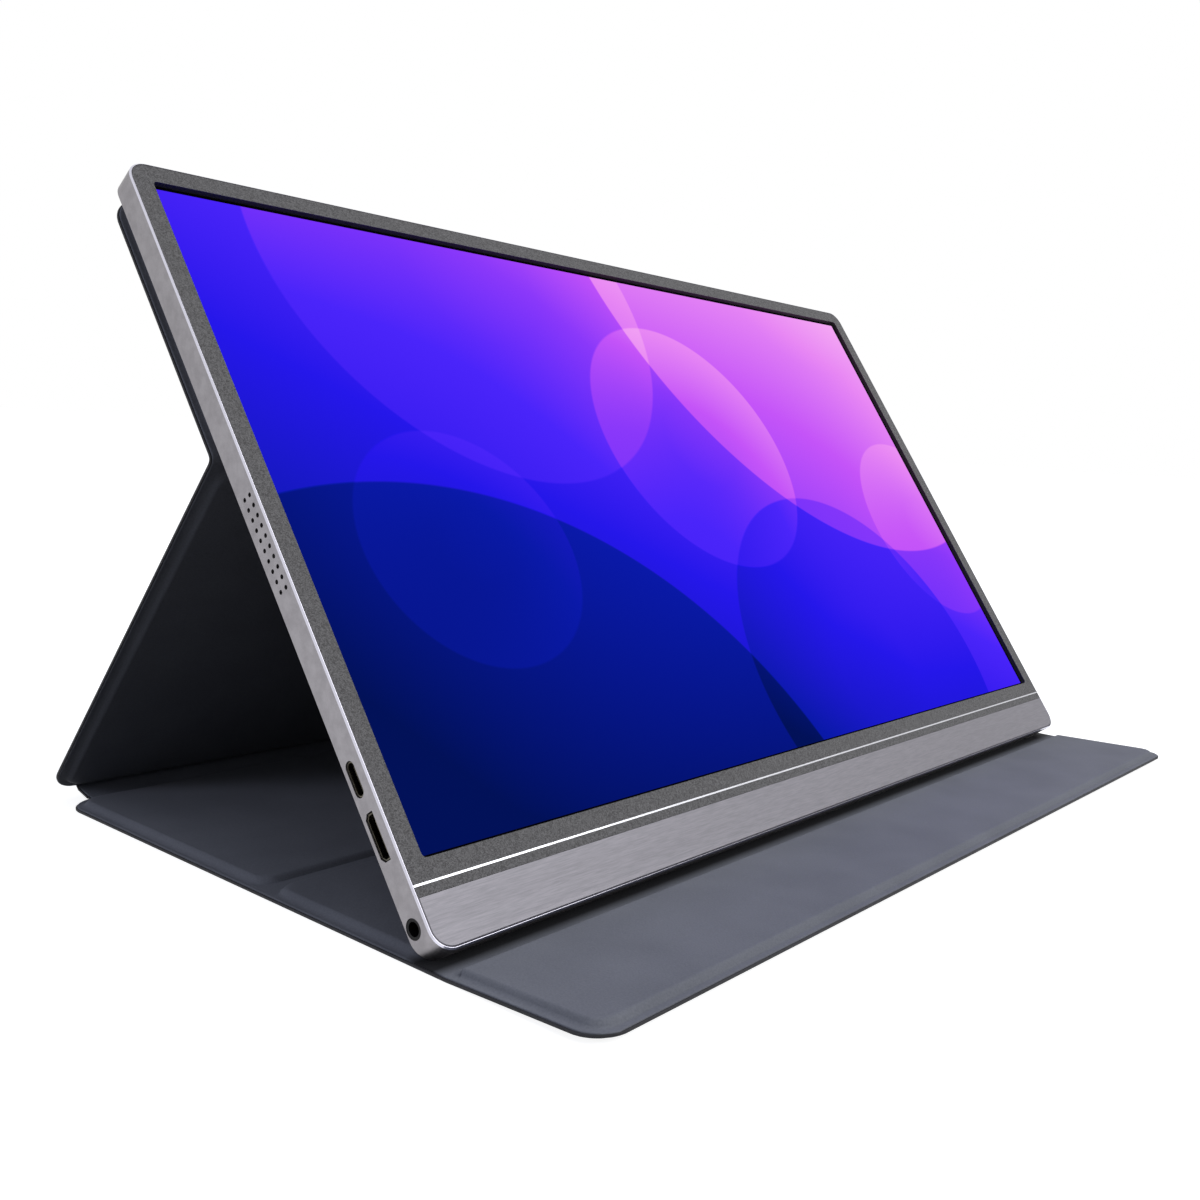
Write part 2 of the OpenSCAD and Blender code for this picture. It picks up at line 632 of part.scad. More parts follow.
module mini_hdmi_socket() translate([0, 0, -socket_recess - socket_depth]) {
    difference() {
        linear_extrude(socket_depth) hdmi_plan(11.6, 3.1);
        translate([0, 0, 0.8]) linear_extrude(socket_depth) hdmi_plan(11.6 - 2*case_t, 3.1 - 2*case_t);
    }
    translate([0, 0, 0.5]) linear_extrude(tongue_l) translate([-0.5, -4]) square([0.65, 8]);
}

module usb_c_port_left() color(STEEL) in_monitor() on_side(-1, usb_v, port_n) usb_c_socket();
module usb_c_port_right() color(STEEL) in_monitor() on_side(1, usb_v, port_n) usb_c_socket();
module mini_hdmi_port() color(STEEL) in_monitor() on_side(-1, hdmi_v, port_n) mini_hdmi_socket();

module headphone_socket() color(BLACK) in_monitor() on_side(-1, jack_v, port_n) difference() {
    union() {
        translate([0, 0, -3.5]) cylinder(h = 3.4, r = jack_collar_r);
        box([-2.4, 2.4], [-jack_w/2, jack_w/2], [-jack_depth, -3.5]);
    }
    translate([0, 0, -jack_depth + 1]) cylinder(h = jack_depth, r = jack_bore_r);
}

// A speaker: a duct beside the display module and a flat box behind it
speaker_depth = 16;
speaker_duct = side_border - module_border - 0.2;
module speaker(side) {
    half = speaker_columns * speaker_pitch / 2 + 1;
    on_side(side, speaker_v, 0) {
        box([ledge_n + ledge_t + 0.1, side_t - 0.1], [-half, half], [-speaker_duct, -side_wall - 0.15]);
        box([module_back + 0.15, floor_n - 0.05], [-half, half], [-speaker_depth, -speaker_duct]);
        box([side_t - 0.1, floor_n - 0.05], [-half, half],
            [-speaker_depth, -side_wall - inner_bevel - 0.15]);
    }
}
module speaker_left() color(BLACK) in_monitor() speaker(-1);
module speaker_right() color(BLACK) in_monitor() speaker(1);

module steel_plates() color(STEEL) in_monitor() for (x = magnet_xs, y = magnet_ys)
    translate([x, fold_v + y, -floor_n + 0.05 + plate_size[2]/2]) cube(plate_size, center = true);

// ---------------------------------------------------------------- monitor: controls

module power_button() color(ALUMINIUM) in_monitor() on_side(1, button_v, port_n) {
    translate([0, 0, -3]) linear_extrude(3 + button_out) pill(button_l, button_t);
    translate([0, 0, -side_wall - 0.6]) linear_extrude(0.5)
        pill(button_l + button_flange, button_t + button_flange);
}

// The wheel turns on a pin held between the carrier's cheeks
module wheel_place() on_side(1, wheel_v, wheel_n) translate([0, 0, -wheel_depth]) children();

module wheel_carrier() color(BLACK) in_monitor() wheel_place() {
    half = wheel_t/2 + cheek_gap;
    for (side = [-1, 1]) difference() {
        hull() {
            rotate([0, 90, 0]) translate([0, 0, side * (half + cheek_t/2)])
                cylinder(h = cheek_t, r = cheek_r, center = true, $fn = hull_fn);
            translate([side * (half + cheek_t/2) - cheek_t/2, -1.5, -wheel_r - 0.3]) cube([cheek_t, 3, 0.5]);
        }
    }
    rotate([0, 90, 0]) cylinder(h = 2 * half + 0.2, r = axle_r, center = true, $fn = 24);
    box([-half + 0.25, half + cheek_t], [-1.5, 1.5], [-wheel_r - 0.7, -wheel_r - 0.2]);
}

knurls = 20;
knurl_r = 0.22;
module menu_wheel() color(ALUMINIUM) in_monitor() wheel_place() rotate([0, 90, 0]) difference() {
    cylinder(h = wheel_t, r = wheel_r, center = true);
    cylinder(h = wheel_t + 1, r = wheel_bore_r, center = true, $fn = 24);
    for (i = [0 : knurls - 1]) rotate(i * 360 / knurls) translate([wheel_r + 0.05, 0, 0])
        cylinder(h = wheel_t + 1, r = knurl_r, center = true, $fn = 16);
}

// ---------------------------------------------------------------- the nodes

base_skin();
seat_lining();
middle_lining();
rear_lining();
middle_board();
rear_board();
flap_skin();
flap_lining();
flap_board();
flap_magnets();
spine_skin();
spine_lining();
support_skin();
support_lining();
support_board();
back_skin();
back_lining();
back_board();
back_magnets();
rear_shell();
front_bezel();
chin_trim();
accent_strip();
bezel_tape();
lcd_cell();
optical_films();
light_guide();
led_bar();
backlight_tray();
panel_driver_board();
panel_ribbon();
main_board();
control_board();
board_ribbon();
board_screws();
usb_c_port_left();
usb_c_port_right();
mini_hdmi_port();
headphone_socket();
speaker_left();
speaker_right();
steel_plates();
power_button();
wheel_carrier();
menu_wheel();
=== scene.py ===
# %% [markdown]
# # A portable monitor in its folding cover
#
# The real thing is a thin aluminium monitor that stands on a padded cover. The cover lies under
# it, comes up behind it and holds its back with magnets. The solids of the monitor already have
# the right shape, so they only get their finishes here. The cover is soft, so it is modelled anew:
# a sheet of skin and one of lining for each panel, with pads and a soft bend at each crease.

# %% Load the frame
import json
import math

import bpy
from mathutils import Matrix, Vector, noise


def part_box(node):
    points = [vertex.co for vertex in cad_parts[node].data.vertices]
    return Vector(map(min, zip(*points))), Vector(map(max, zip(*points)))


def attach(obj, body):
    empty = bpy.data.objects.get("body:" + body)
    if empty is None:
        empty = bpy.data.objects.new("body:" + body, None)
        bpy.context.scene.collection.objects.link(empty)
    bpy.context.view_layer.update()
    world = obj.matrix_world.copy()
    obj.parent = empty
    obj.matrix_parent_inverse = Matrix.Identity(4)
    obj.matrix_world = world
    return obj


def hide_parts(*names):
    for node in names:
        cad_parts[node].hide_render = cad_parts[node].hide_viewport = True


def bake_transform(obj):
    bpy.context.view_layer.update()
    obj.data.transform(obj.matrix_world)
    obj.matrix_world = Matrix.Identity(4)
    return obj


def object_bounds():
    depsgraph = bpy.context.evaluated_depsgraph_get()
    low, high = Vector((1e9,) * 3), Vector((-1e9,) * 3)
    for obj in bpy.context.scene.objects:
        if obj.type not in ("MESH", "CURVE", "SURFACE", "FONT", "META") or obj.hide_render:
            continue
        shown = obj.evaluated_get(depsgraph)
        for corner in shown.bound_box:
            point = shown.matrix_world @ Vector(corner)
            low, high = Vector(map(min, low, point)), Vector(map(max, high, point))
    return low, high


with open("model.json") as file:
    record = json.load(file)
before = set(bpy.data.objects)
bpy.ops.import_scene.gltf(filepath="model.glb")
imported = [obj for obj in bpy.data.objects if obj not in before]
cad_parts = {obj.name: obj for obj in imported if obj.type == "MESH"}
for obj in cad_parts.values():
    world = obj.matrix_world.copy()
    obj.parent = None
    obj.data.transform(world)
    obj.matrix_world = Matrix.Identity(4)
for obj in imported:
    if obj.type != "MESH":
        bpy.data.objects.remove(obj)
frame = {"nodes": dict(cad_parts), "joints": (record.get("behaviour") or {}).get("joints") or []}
cad_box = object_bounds()
joints = {joint["name"]: joint for joint in frame["joints"]}
MM = 0.001
ACROSS = Vector((1, 0, 0))


def show(name, data):
    """A new object for a mesh, lamp or camera, in the scene."""
    made = bpy.data.objects.new(name, data)
    bpy.context.scene.collection.objects.link(made)
    return made


# %% [markdown]
# ## The camera
#
# A camera has a place, three angles, a focal length and a shift. The angles here are a heading
# (yaw), a dip (pitch) and a lean (roll). The shift is small: it only moves the picture a little
# off the lens's axis.

# %% Camera
FRAME_PX = 1200
CAMERA_PLACE = Vector((-355.84, -199.81, 123.12)) * MM
CAMERA_YAW = math.radians(52.535)
CAMERA_PITCH = math.radians(-9.535)
CAMERA_ROLL = math.radians(3.476)
FOCAL_PX = 1248.5
AXIS_PX = (686.1, 645.9)
SENSOR = 36               # in mm
NEAREST = 0.01            # in metres


def make_camera():
    ahead = Vector((math.sin(CAMERA_YAW) * math.cos(CAMERA_PITCH),
                    math.cos(CAMERA_YAW) * math.cos(CAMERA_PITCH), math.sin(CAMERA_PITCH)))
    level = Vector((math.cos(CAMERA_YAW), -math.sin(CAMERA_YAW), 0))
    upright = level.cross(ahead)
    right = level * math.cos(CAMERA_ROLL) + upright * math.sin(CAMERA_ROLL)
    up = upright * math.cos(CAMERA_ROLL) - level * math.sin(CAMERA_ROLL)
    data = bpy.data.cameras.new("camera")
    data.sensor_width = SENSOR
    data.lens = data.sensor_width * FOCAL_PX / FRAME_PX
    data.shift_x = 0.5 - AXIS_PX[0] / FRAME_PX
    data.shift_y = AXIS_PX[1] / FRAME_PX - 0.5
    data.clip_start = NEAREST
    made = show("camera", data)
    turn = Matrix((right, up, -ahead)).transposed()
    made.matrix_world = Matrix.Translation(CAMERA_PLACE) @ turn.to_4x4()
    return made


camera = make_camera()
bpy.context.scene.camera = camera
print("lens:", round(camera.data.lens, 2), "mm")

# %% [markdown]
# ## The places of the panels
#
# Each panel of the cover has a flat frame of its own: x across the cover, y along it, z out of the
# lining. The creases come from the hinges of the solids, so the sheets bend where they turn.

# %% Creases and panel directions
flap_crease = Vector(joints["front_flap_fold"]["pos_m"])
rear_crease = Vector(joints["spine_fold"]["pos_m"])
foot_crease = Vector(joints["support_fold"]["pos_m"])
top_crease = Vector(joints["back_fold"]["pos_m"])
front_normal = Vector(joints["monitor_release"]["axis"])
slope_up = front_normal.cross(ACROSS)
FLAP_LIFT = math.radians(2.1)
flap_along = Vector((0, -math.cos(FLAP_LIFT), math.sin(FLAP_LIFT)))


def panel_place(origin, along):
    """The matrix of a panel that starts at origin and runs along that direction."""
    along = along.normalized()
    runs_back = along.y > 0 or along.z > 0.5
    across = ACROSS if runs_back else -ACROSS
    turn = Matrix((across, along, across.cross(along))).transposed()
    return Matrix.Translation(origin) @ turn.to_4x4()


places = {
    "floor": panel_place(flap_crease, rear_crease - flap_crease),
    "flap": panel_place(flap_crease, flap_along),
    "spine": panel_place(rear_crease, foot_crease - rear_crease),
    "support": panel_place(foot_crease, top_crease - foot_crease),
    "back": panel_place(top_crease, slope_up),
}
print({name: [round(v, 3) for v in place.col[2][:3]] for name, place in places.items()})


def on_panel(panel):
    """A function that puts a panel's own x, y, z in mm into the scene."""
    matrix = places[panel]
    return lambda x, y, z: matrix @ (Vector((x, y, z)) * MM)


# %% [markdown]
# ## The shape of the cover
#
# A soft sheet that has a pad, a rim and round corners could be sculpted, but its sizes would drift.
# Here each sheet is a grid whose rows follow the panel's outline and whose height is a function of
# the place on the panel. The same function then serves skin and lining, and it stays exact.

# %% Sizes of the cover, in mm
SKIN_T = 0.55
LINING_T = 0.55
PAD_RISE = 1.7            # how far a pad stands over the flat lining
RIM = 2.4                 # the flat edge outside the pads
SHOULDER = 1.9            # the round slope at the side of a pad
CORNER = 8.5              # radius of the cover's corners
OUTER_PAD_CORNER = CORNER - RIM
INNER_PAD_CORNER = 5.6    # radius of a pad's corners beside a crease
TIGHT_PAD_CORNER = 2.6    # and beside the flap's crease
SPINE_INSET = 8.5         # how far the spine stands in from the cover's sides
CREASE_TO_PAD = 2.2
FLAP_TO_PAD = 0.8
PINCH = 0.9               # the steep shoulder beside the flap's crease
EDGE_TURN = 0.45          # width of the skin's edge that is turned up round the lining
cover_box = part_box("base_skin")
half_cover = (cover_box[1].x - cover_box[0].x) / 2 / MM
half_spine = half_cover - SPINE_INSET


def reach_of(node, origin, along):
    """How far a solid reaches from an origin in a direction, in mm."""
    return max((v.co - origin).dot(along) for v in frame["nodes"][node].data.vertices) / MM


lengths = {
    "floor": (rear_crease - flap_crease).length / MM,
    "flap": reach_of("flap_skin", flap_crease, flap_along),
    "spine": (foot_crease - rear_crease).length / MM,
    "support": (top_crease - foot_crease).length / MM,
    "back": reach_of("back_skin", top_crease, slope_up),
}
print({name: round(length, 2) for name, length in lengths.items()})

# %% [markdown]
# ## The outline of a panel
#
# The cover is cut with round corners, and it stands in on both sides at the spine. The outline
# could be a curve that is drawn by hand. Half the width as a function of y is simpler, because
# every panel is the same left and right, and the corners keep their radius.

# %% Outline of a panel
NOTCH_BLEND = 2.0
SPINE_BLEND = 1


def soft_max(a, b, blend):
    """The larger of two values, with a round change from one to the other."""
    near = max(blend - abs(a - b), 0) / blend
    return max(a, b) + near * near * blend / 4


def arc_half_width(y):
    """Half the width of a panel at y from its round end."""
    drop = CORNER - min(max(y, 0), CORNER)
    return half_cover - CORNER + math.sqrt(CORNER ** 2 - drop ** 2)


def notch_half_width(y):
    """Half the width beside the spine: y is positive on the panel and negative on the spine."""
    return soft_max(half_spine, arc_half_width(y), NOTCH_BLEND)


print("half widths from a round end:", [round(arc_half_width(y), 1) for y in (0, CORNER / 2, CORNER)])

# %% [markdown]
# ## The height of a pad
#
# On the real cover a board lies under the lining of each pad. The lining comes up over it in a
# soft shoulder, swells a little and isn't quite even. A cloth simulation gives such a shape too,
# but no size of it can be set. So the rise is worked out from how deep a point lies inside the
# pad's foot.

# %% Height of a pad
SWELL = 0.14              # how much a pad's middle stands over its shoulders
SWELL_REACH = 14
WAVE = 0.16               # the lining isn't quite even over its board
WAVE_CREST = 0.05
WAVE_REACH = 10
WAVE_ACROSS, WAVE_ALONG = 38, 30
WAVE_STEP = 7             # each pad starts elsewhere in the noise


def ease(t):
    """A soft step from 0 to 1 as t goes from 0 to 1."""
    t = min(max(t, 0), 1)
    return 0.5 - 0.5 * math.cos(math.pi * t)


def rounded_box_depth(x, y, half_w, y0, y1, r):
    """How far a point lies inside a rectangle with round corners; negative outside."""
    qx = abs(x) - half_w + r
    qy = abs(y - (y0 + y1) / 2) - (y1 - y0) / 2 + r
    return r - math.hypot(max(qx, 0), max(qy, 0)) - min(max(qx, qy), 0)


def pad_depth(x, y, pad):
    """How far a point lies inside the foot of a pad: pad holds its two ends and their corners."""
    y0, y1, corner0, corner1 = pad
    corner = corner0 if y < (y0 + y1) / 2 else corner1
    return rounded_box_depth(x, y, half_cover - RIM, y0, y1, corner)


def shoulder_share(depth, width):
    """How much of its rise a shoulder of that width has reached: steep at its foot, then round."""
    return math.sin(math.pi / 2 * min(max(depth / width, 0), 1))


def pad_rise(x, y, pad, pinched=False):
    """The rise of a pad, which swells a little towards its middle. A pinched pad has a narrow
    shoulder at its near end, where a crease holds it down."""
    depth = pad_depth(x, y, pad)
    if depth <= 0:
        return 0
    share = shoulder_share(depth, SHOULDER)
    if pinched:
        sides = pad_depth(x, y, (pad[0] - SHOULDER, *pad[1:]))
        share = shoulder_share(sides, SHOULDER) * shoulder_share(y - pad[0], PINCH)
    swell = SWELL * ease(depth / SWELL_REACH) - SWELL
    wave = WAVE * noise.noise((x / WAVE_ACROSS, y / WAVE_ALONG, pad[0] / WAVE_STEP))
    return (PAD_RISE + swell + min(wave * ease(depth / WAVE_REACH), WAVE_CREST)) * share


print("rise over a shoulder:", [round(PAD_RISE * shoulder_share(d, SHOULDER), 2) for d in (0.5, 1, 1.5)])

# %% [markdown]
# ## Rows and columns
#
# An even grid would need very many squares to draw a shoulder that is 2 mm wide. Here the rows and
# columns lie close together at the edges and on the shoulders, and far apart on the flat.

# %% Rows and columns of a sheet
EDGE_STEPS = [0, 0.04, 0.12, 0.25, EDGE_TURN, EDGE_TURN + 0.1, 0.8]
SHOULDER_STEPS = [k * SHOULDER / 8 for k in range(9)] + [3, 4, 5.5, 8, 11, 15]
MID_RIM = 1.6
BESIDE_PAD = 0.06
ROW_GAP, COLUMN_GAP = 9, 5
MIDDLE_COLUMNS = 30


def stations(marks, gap):
    """The marks in order, with more between them wherever they lie further apart than gap."""
    marks = sorted({round(m, 3) for m in marks})
    filled = [marks[0]]
    for a, b in zip(marks, marks[1:]):
        steps = max(1, math.ceil((b - a) / gap))
        filled += [a + (b - a) * k / steps for k in range(1, steps + 1)]
    return filled


def panel_rows(y0, y1, pads, round_end):
    """The rows of a panel: close together at its edges and on the shoulders of its pads."""
    rows = [y0, y1]
    for pad in pads:
        middle = (pad[0] + pad[1]) / 2
        rows += [y for y in (pad[0] - BESIDE_PAD, pad[1] + BESIDE_PAD) if y0 < y < y1]
        rows += [pad[0] + s for s in SHOULDER_STEPS if pad[0] + s < middle]
        rows += [pad[1] - s for s in SHOULDER_STEPS if pad[1] - s > middle]
    if round_end:
        rows += [y1 - s for s in EDGE_STEPS]
        rows += [y1 - CORNER * (1 - math.cos(math.radians(a))) for a in range(15, 90, 15)]
    return stations(rows, ROW_GAP)


side_steps = stations(EDGE_STEPS + [MID_RIM, RIM - BESIDE_PAD] + [RIM + s for s in SHOULDER_STEPS],
                      COLUMN_GAP)


def row_places(half):
    """Places across a row that reaches half to each side: close at the edges, even between."""
    inner = half - side_steps[-1]
    even = [inner * (1 - 2 * k / MIDDLE_COLUMNS) for k in range(1, MIDDLE_COLUMNS)]
    return [half - s for s in side_steps] + even + [s - half for s in reversed(side_steps)]


print("columns:", len(row_places(half_cover)))

# %% [markdown]
# ## A closed sheet
#
# Skin and lining both have a thickness. A thin surface with a Solidify modifier would be the same
# on both sides, but the lining is padded on top and has a pocket for each board below. So a sheet
# has two grids, one for each side, and a rim that closes it all round.

# %% Build a sheet
SHARP_FROM = math.radians(40)
NEARBY = 0.05


def edge_depth(x, y, width_at, far_end):
    """About how far a point lies inside the outline."""
    slope = (width_at(y + NEARBY) - width_at(y - NEARBY)) / (2 * NEARBY)
    depth = (width_at(y) - abs(x)) / math.hypot(1, slope)
    return min(depth, far_end - y) if far_end else depth


def sheet(name, rows, width_at, top, bottom, place, inset=0.0, far_end=None):
    """A closed sheet between the heights top(x, y, depth) and bottom(x, y, depth).
    width_at(y) is its outline and place(x, y, z), all in mm, puts a point in the scene."""
    verts = []
    for level in (top, bottom):
        for y in rows:
            for x in row_places(width_at(y) - inset):
                depth = edge_depth(x, y, lambda v: width_at(v) - inset, far_end)
                verts.append(place(x, y, level(x, y, max(depth, 0))))
    layer = len(verts) // 2
    count = layer // len(rows)
    faces = []
    for start in range(0, layer - count, count):
        for a in range(start, start + count - 1):
            square = (a, a + 1, a + count + 1, a + count)
            faces += [square[::-1], tuple(layer + v for v in square)]
    # The rim runs once round the grid: first row, last column, last row, first column
    rim = [*range(count), *range(2 * count - 1, layer, count),
           *range(layer - 2, layer - count - 1, -1), *range(layer - 2 * count, 0, -count)]
    faces += [(a, b, layer + b, layer + a) for a, b in zip(rim, rim[1:] + rim[:1])]
    mesh = bpy.data.meshes.new(name)
    mesh.from_pydata(verts, [], faces)
    mesh.validate()
    mesh.shade_smooth()
    mesh.set_sharp_from_angle(angle=SHARP_FROM)
    return show(name, mesh)


print("sharp from:", round(math.degrees(SHARP_FROM)), "degrees")

# %% [markdown]
# ## Skin and lining of each panel
#
# The skin is turned up round the lining, which leaves a thin dark line at the edge. The pads are
# stiff boards under the lining, so their shoulders are soft and their tops almost flat.

# %% Cross sections
SKIN_LIP = 0.24           # how far the turned edge stands over the skin's inner face
LIP_ROUND = 0.2
SKIN_ROUND = 0.22
LIP_STEP = 0.05           # from the turned edge to the open skin
LINING_ROUND = 0.25
HAIR = 0.01               # keeps two faces from lying in one another
BOARD_IN = 2.3            # from the foot of a pad to its board


def rounded(depth, r):
    """How much a rounded edge of radius r has dropped at that depth."""
    gap = min(max(r - depth, 0), r)
    return r - math.sqrt(r * r - gap * gap)


def skin_top(x, y, depth):
    return -HAIR if depth > EDGE_TURN + LIP_STEP else SKIN_LIP - rounded(depth, LIP_ROUND)


def skin_bottom(x, y, depth):
    return rounded(depth, SKIN_ROUND) - SKIN_T


def lining_top(pads, pinched=False):
    def height(x, y, depth):
        rise = sum(pad_rise(x, y, pad, pinched) for pad in pads)
        return LINING_T - rounded(depth, LINING_ROUND) + rise
    return height


def lining_bottom(pads):
    """The lining's underside is flat, with a pocket for each board."""
    def height(x, y, depth):
        over_board = any(pad_depth(x, y, pad) >= BOARD_IN for pad in pads)
        return PAD_RISE + HAIR if over_board else 0.0
    return height


print("rim:", SKIN_T + LINING_T, "mm thick; pad:", SKIN_T + LINING_T + PAD_RISE)

# %% [markdown]
# ## Where the pads lie
#
# The floor has two pads, the flap, the support and the back have one each, and the spine has none.
# The monitor stands in the groove between the flap and the floor's first pad. All of this is said
# once, in tables by panel, so that one loop can make every panel.

# %% Pads, spans and outlines
BEND = {"flap": FLAP_TO_PAD, "rear": 2.0, "foot": 2.0, "top": 2.0}  # how far a bend reaches
SEAT_FOOT = 10.5          # from the flap's crease to the first pad: the monitor stands between
GROOVE = 72.0             # and to the groove between the two pads
inner, outer, tight = INNER_PAD_CORNER, OUTER_PAD_CORNER, TIGHT_PAD_CORNER
pads = {
    "floor": [(SEAT_FOOT, GROOVE - CREASE_TO_PAD, inner, inner),
              (GROOVE + CREASE_TO_PAD, lengths["floor"] - CREASE_TO_PAD, inner, outer)],
    "flap": [(FLAP_TO_PAD, lengths["flap"] - RIM, tight, outer)],
    "spine": [],
    "support": [(CREASE_TO_PAD, lengths["support"] - CREASE_TO_PAD, outer, inner)],
    "back": [(CREASE_TO_PAD, lengths["back"] - RIM, inner, outer)],
}
spans = {
    "floor": (BEND["flap"], lengths["floor"] - BEND["rear"]),
    "flap": (BEND["flap"], lengths["flap"]),
    "spine": (BEND["rear"], lengths["spine"] - BEND["foot"]),
    "support": (BEND["foot"], lengths["support"] - BEND["top"]),
    "back": (BEND["top"], lengths["back"]),
}
outlines = {
    "floor": lambda y: notch_half_width(lengths["floor"] - y),
    "flap": lambda y: arc_half_width(lengths["flap"] - y),
    "spine": lambda y: soft_max(notch_half_width(-y), notch_half_width(y - lengths["spine"]),
                                SPINE_BLEND),
    "support": notch_half_width,
    "back": lambda y: arc_half_width(lengths["back"] - y),
}
print("pads:", {panel: len(found) for panel, found in pads.items()})

# %% Make the panels
body_of_panel = {"floor": "base", "flap": "front_flap", "spine": "spine", "support": "support",
                 "back": "back_panel"}
nodes_of_panel = {
    "floor": ("base_skin", ["seat_lining", "middle_lining", "rear_lining"]),
    "flap": ("flap_skin", ["flap_lining"]),
    "spine": ("spine_skin", ["spine_lining"]),
    "support": ("support_skin", ["support_lining"]),
    "back": ("back_skin", ["back_lining"]),
}
cover_pieces = {"skin": [], "lining": []}
for panel, span in spans.items():
    far_end = lengths[panel] if panel in ("flap", "back") else None
    rows = panel_rows(*span, pads[panel], far_end is not None)
    skin = sheet(f"{panel}_outer_skin", rows, outlines[panel], skin_top, skin_bottom,
                 on_panel(panel), 0, far_end)
    if far_end:
        far_end -= EDGE_TURN
        rows = [min(y, far_end) for y in rows]
    lining = sheet(f"{panel}_padded_lining", stations(rows, ROW_GAP), outlines[panel],
                   lining_top(pads[panel], pinched=panel == "flap"),
                   lining_bottom(pads[panel]), on_panel(panel), EDGE_TURN, far_end)
    for kind, piece in (("skin", skin), ("lining", lining)):
        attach(piece, body_of_panel[panel])
        cover_pieces[kind].append(piece)
    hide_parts(nodes_of_panel[panel][0])
    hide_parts(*nodes_of_panel[panel][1])
    print(panel, len(skin.data.vertices), len(lining.data.vertices))

# %% [markdown]
# ## The creases
#
# At a crease both sheets bend in one soft curve. Each crease is a short strip of its own, which
# runs from the panel on one side at one edge to the other panel at the other edge.

# %% Bends
BEND_ROW_GAP = 0.35


def round_crease(a, mid, b, reach):
    """A function that puts x, y, z round a crease at mid; y runs from -reach at a to reach at b."""
    def place(x, y, z):
        t = (y / reach + 1) / 2
        point = a.lerp(mid, t).lerp(mid.lerp(b, t), t)
        along = (mid.lerp(b, t) - a.lerp(mid, t)).normalized()
        return point + ACROSS * x * MM + ACROSS.cross(along) * z * MM
    return place


creases = [
    ("rear_crease", "floor", "spine", BEND["rear"], lambda y: notch_half_width(-y)),
    ("foot_crease", "spine", "support", BEND["foot"], notch_half_width),
    ("top_crease", "support", "back", BEND["top"], lambda y: half_cover),
    ("flap_crease", "flap", "floor", BEND["flap"], lambda y: half_cover),
]
for name, before, after, reach, outline in creases:
    # The flap runs away from its crease, the other panels before a crease run up to it
    y_before = reach if before == "flap" else lengths[before] - reach
    a, b = on_panel(before)(0, y_before, 0), on_panel(after)(0, reach, 0)
    place = round_crease(a, places[after].translation, b, reach)
    rows = stations([-reach, 0, reach], BEND_ROW_GAP)
    skin = sheet(f"{name}_skin", rows, outline, skin_top, skin_bottom, place)
    lining = sheet(f"{name}_lining", rows, outline, lining_top([]), lining_bottom([]), place, EDGE_TURN)
    for kind, piece in (("skin", skin), ("lining", lining)):
        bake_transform(piece)
        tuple(a)
        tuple(b)
        cover_pieces[kind].append(piece)
print("creases:", [crease[0] for crease in creases])

# %% [markdown]
# ## The strips that go on from each panel
#
# The real skin is one piece of synthetic leather that runs through all the panels. It can't be cut
# from one flat piece here, because each panel turns with its own body. So the strips that go on
# from each panel's skin are listed panel by panel.

# %% List the strips of each panel
strips_of_panel = {"floor": ["rear_crease", "spine_outer", "foot_crease"], "flap": ["flap_crease"],
                   "support": ["top_crease"], "back": []}
for panel, strips in strips_of_panel.items():
    [bpy.data.objects[f"{strip}_skin"] for strip in strips]
print("sheets:", list(strips_of_panel))

# %% [markdown]
# ## Helpers for finishes
#
# A finish could be one flat colour, but no real surface is that even. So each finish is a graph of
# nodes on one Principled shader. One function turns a hex colour into Blender's linear values, one
# adds a node with its settings and links, and one starts a material.

# %% Finish helpers
def hex_colour(text):
    """An sRGB hex colour as linear red, green, blue and alpha."""
    parts = [int(text[k:k + 2], 16) / 255 for k in (1, 3, 5)]
    return [p / 12.92 if p <= 0.04045 else ((p + 0.055) / 1.055) ** 2.4 for p in parts] + [1.0]


def plug(node, inputs):
    """Fills a node's inputs. Each is a value, an output, or a node, which stands for its output."""
    for key, value in inputs.items():
        if isinstance(value, bpy.types.Node):
            value = next(output for output in value.outputs if output.enabled)
        if isinstance(value, bpy.types.NodeSocket):
            node.id_data.links.new(value, node.inputs[key])
        else:
            node.inputs[key].default_value = value


def add(tree, kind, inputs=None, **settings):
    """Adds a node with its settings and fills its inputs."""
    node = tree.nodes.new(kind)
    for key, value in settings.items():
        setattr(node, key, value)
    plug(node, inputs or {})
    return node


def new_finish(name):
    """A material with one Principled shader: returns the material, its tree and the shader."""
    material = bpy.data.materials.new(name)
    material.use_nodes = True
    return material, material.node_tree, material.node_tree.nodes["Principled BSDF"]


print("middle grey:", [round(part, 3) for part in hex_colour("#808080")])

# %% [markdown]
# ## Patterns with a real size
#
# The patterns could be pictures wrapped round the parts, but those need unwrapping and blur close
# up. Noise that is worked out in space does neither, and its scale can be said in millimetres.
# Most of a noise lies near its middle, so that middle is spread over the whole range.

# %% Patterns
NOISE_RANGE = {"From Min": 0.35, "From Max": 0.65}


def grain(tree, size_mm, detail=3, stretch=(1, 1, 1), roughness=0.5, distortion=0.0):
    """Noise whose blobs are about size_mm across, in the object's own space."""
    place = add(tree, "ShaderNodeTexCoord")
    scaled = add(tree, "ShaderNodeMapping", {"Vector": place.outputs["Object"], "Scale": stretch})
    return add(tree, "ShaderNodeTexNoise",
               {"Vector": scaled, "Scale": 1 / (size_mm * MM), "Detail": detail,
                "Roughness": roughness, "Distortion": distortion})


def mottled(tree, pattern, dark, light, between=NOISE_RANGE):
    """A colour that follows a pattern from a dark shade to a light one."""
    share = add(tree, "ShaderNodeMapRange", {"Value": pattern, **between})
    return add(tree, "ShaderNodeMix",
               {"Factor": share, "A": hex_colour(dark), "B": hex_colour(light)}, data_type="RGBA")


print("noise used:", NOISE_RANGE)

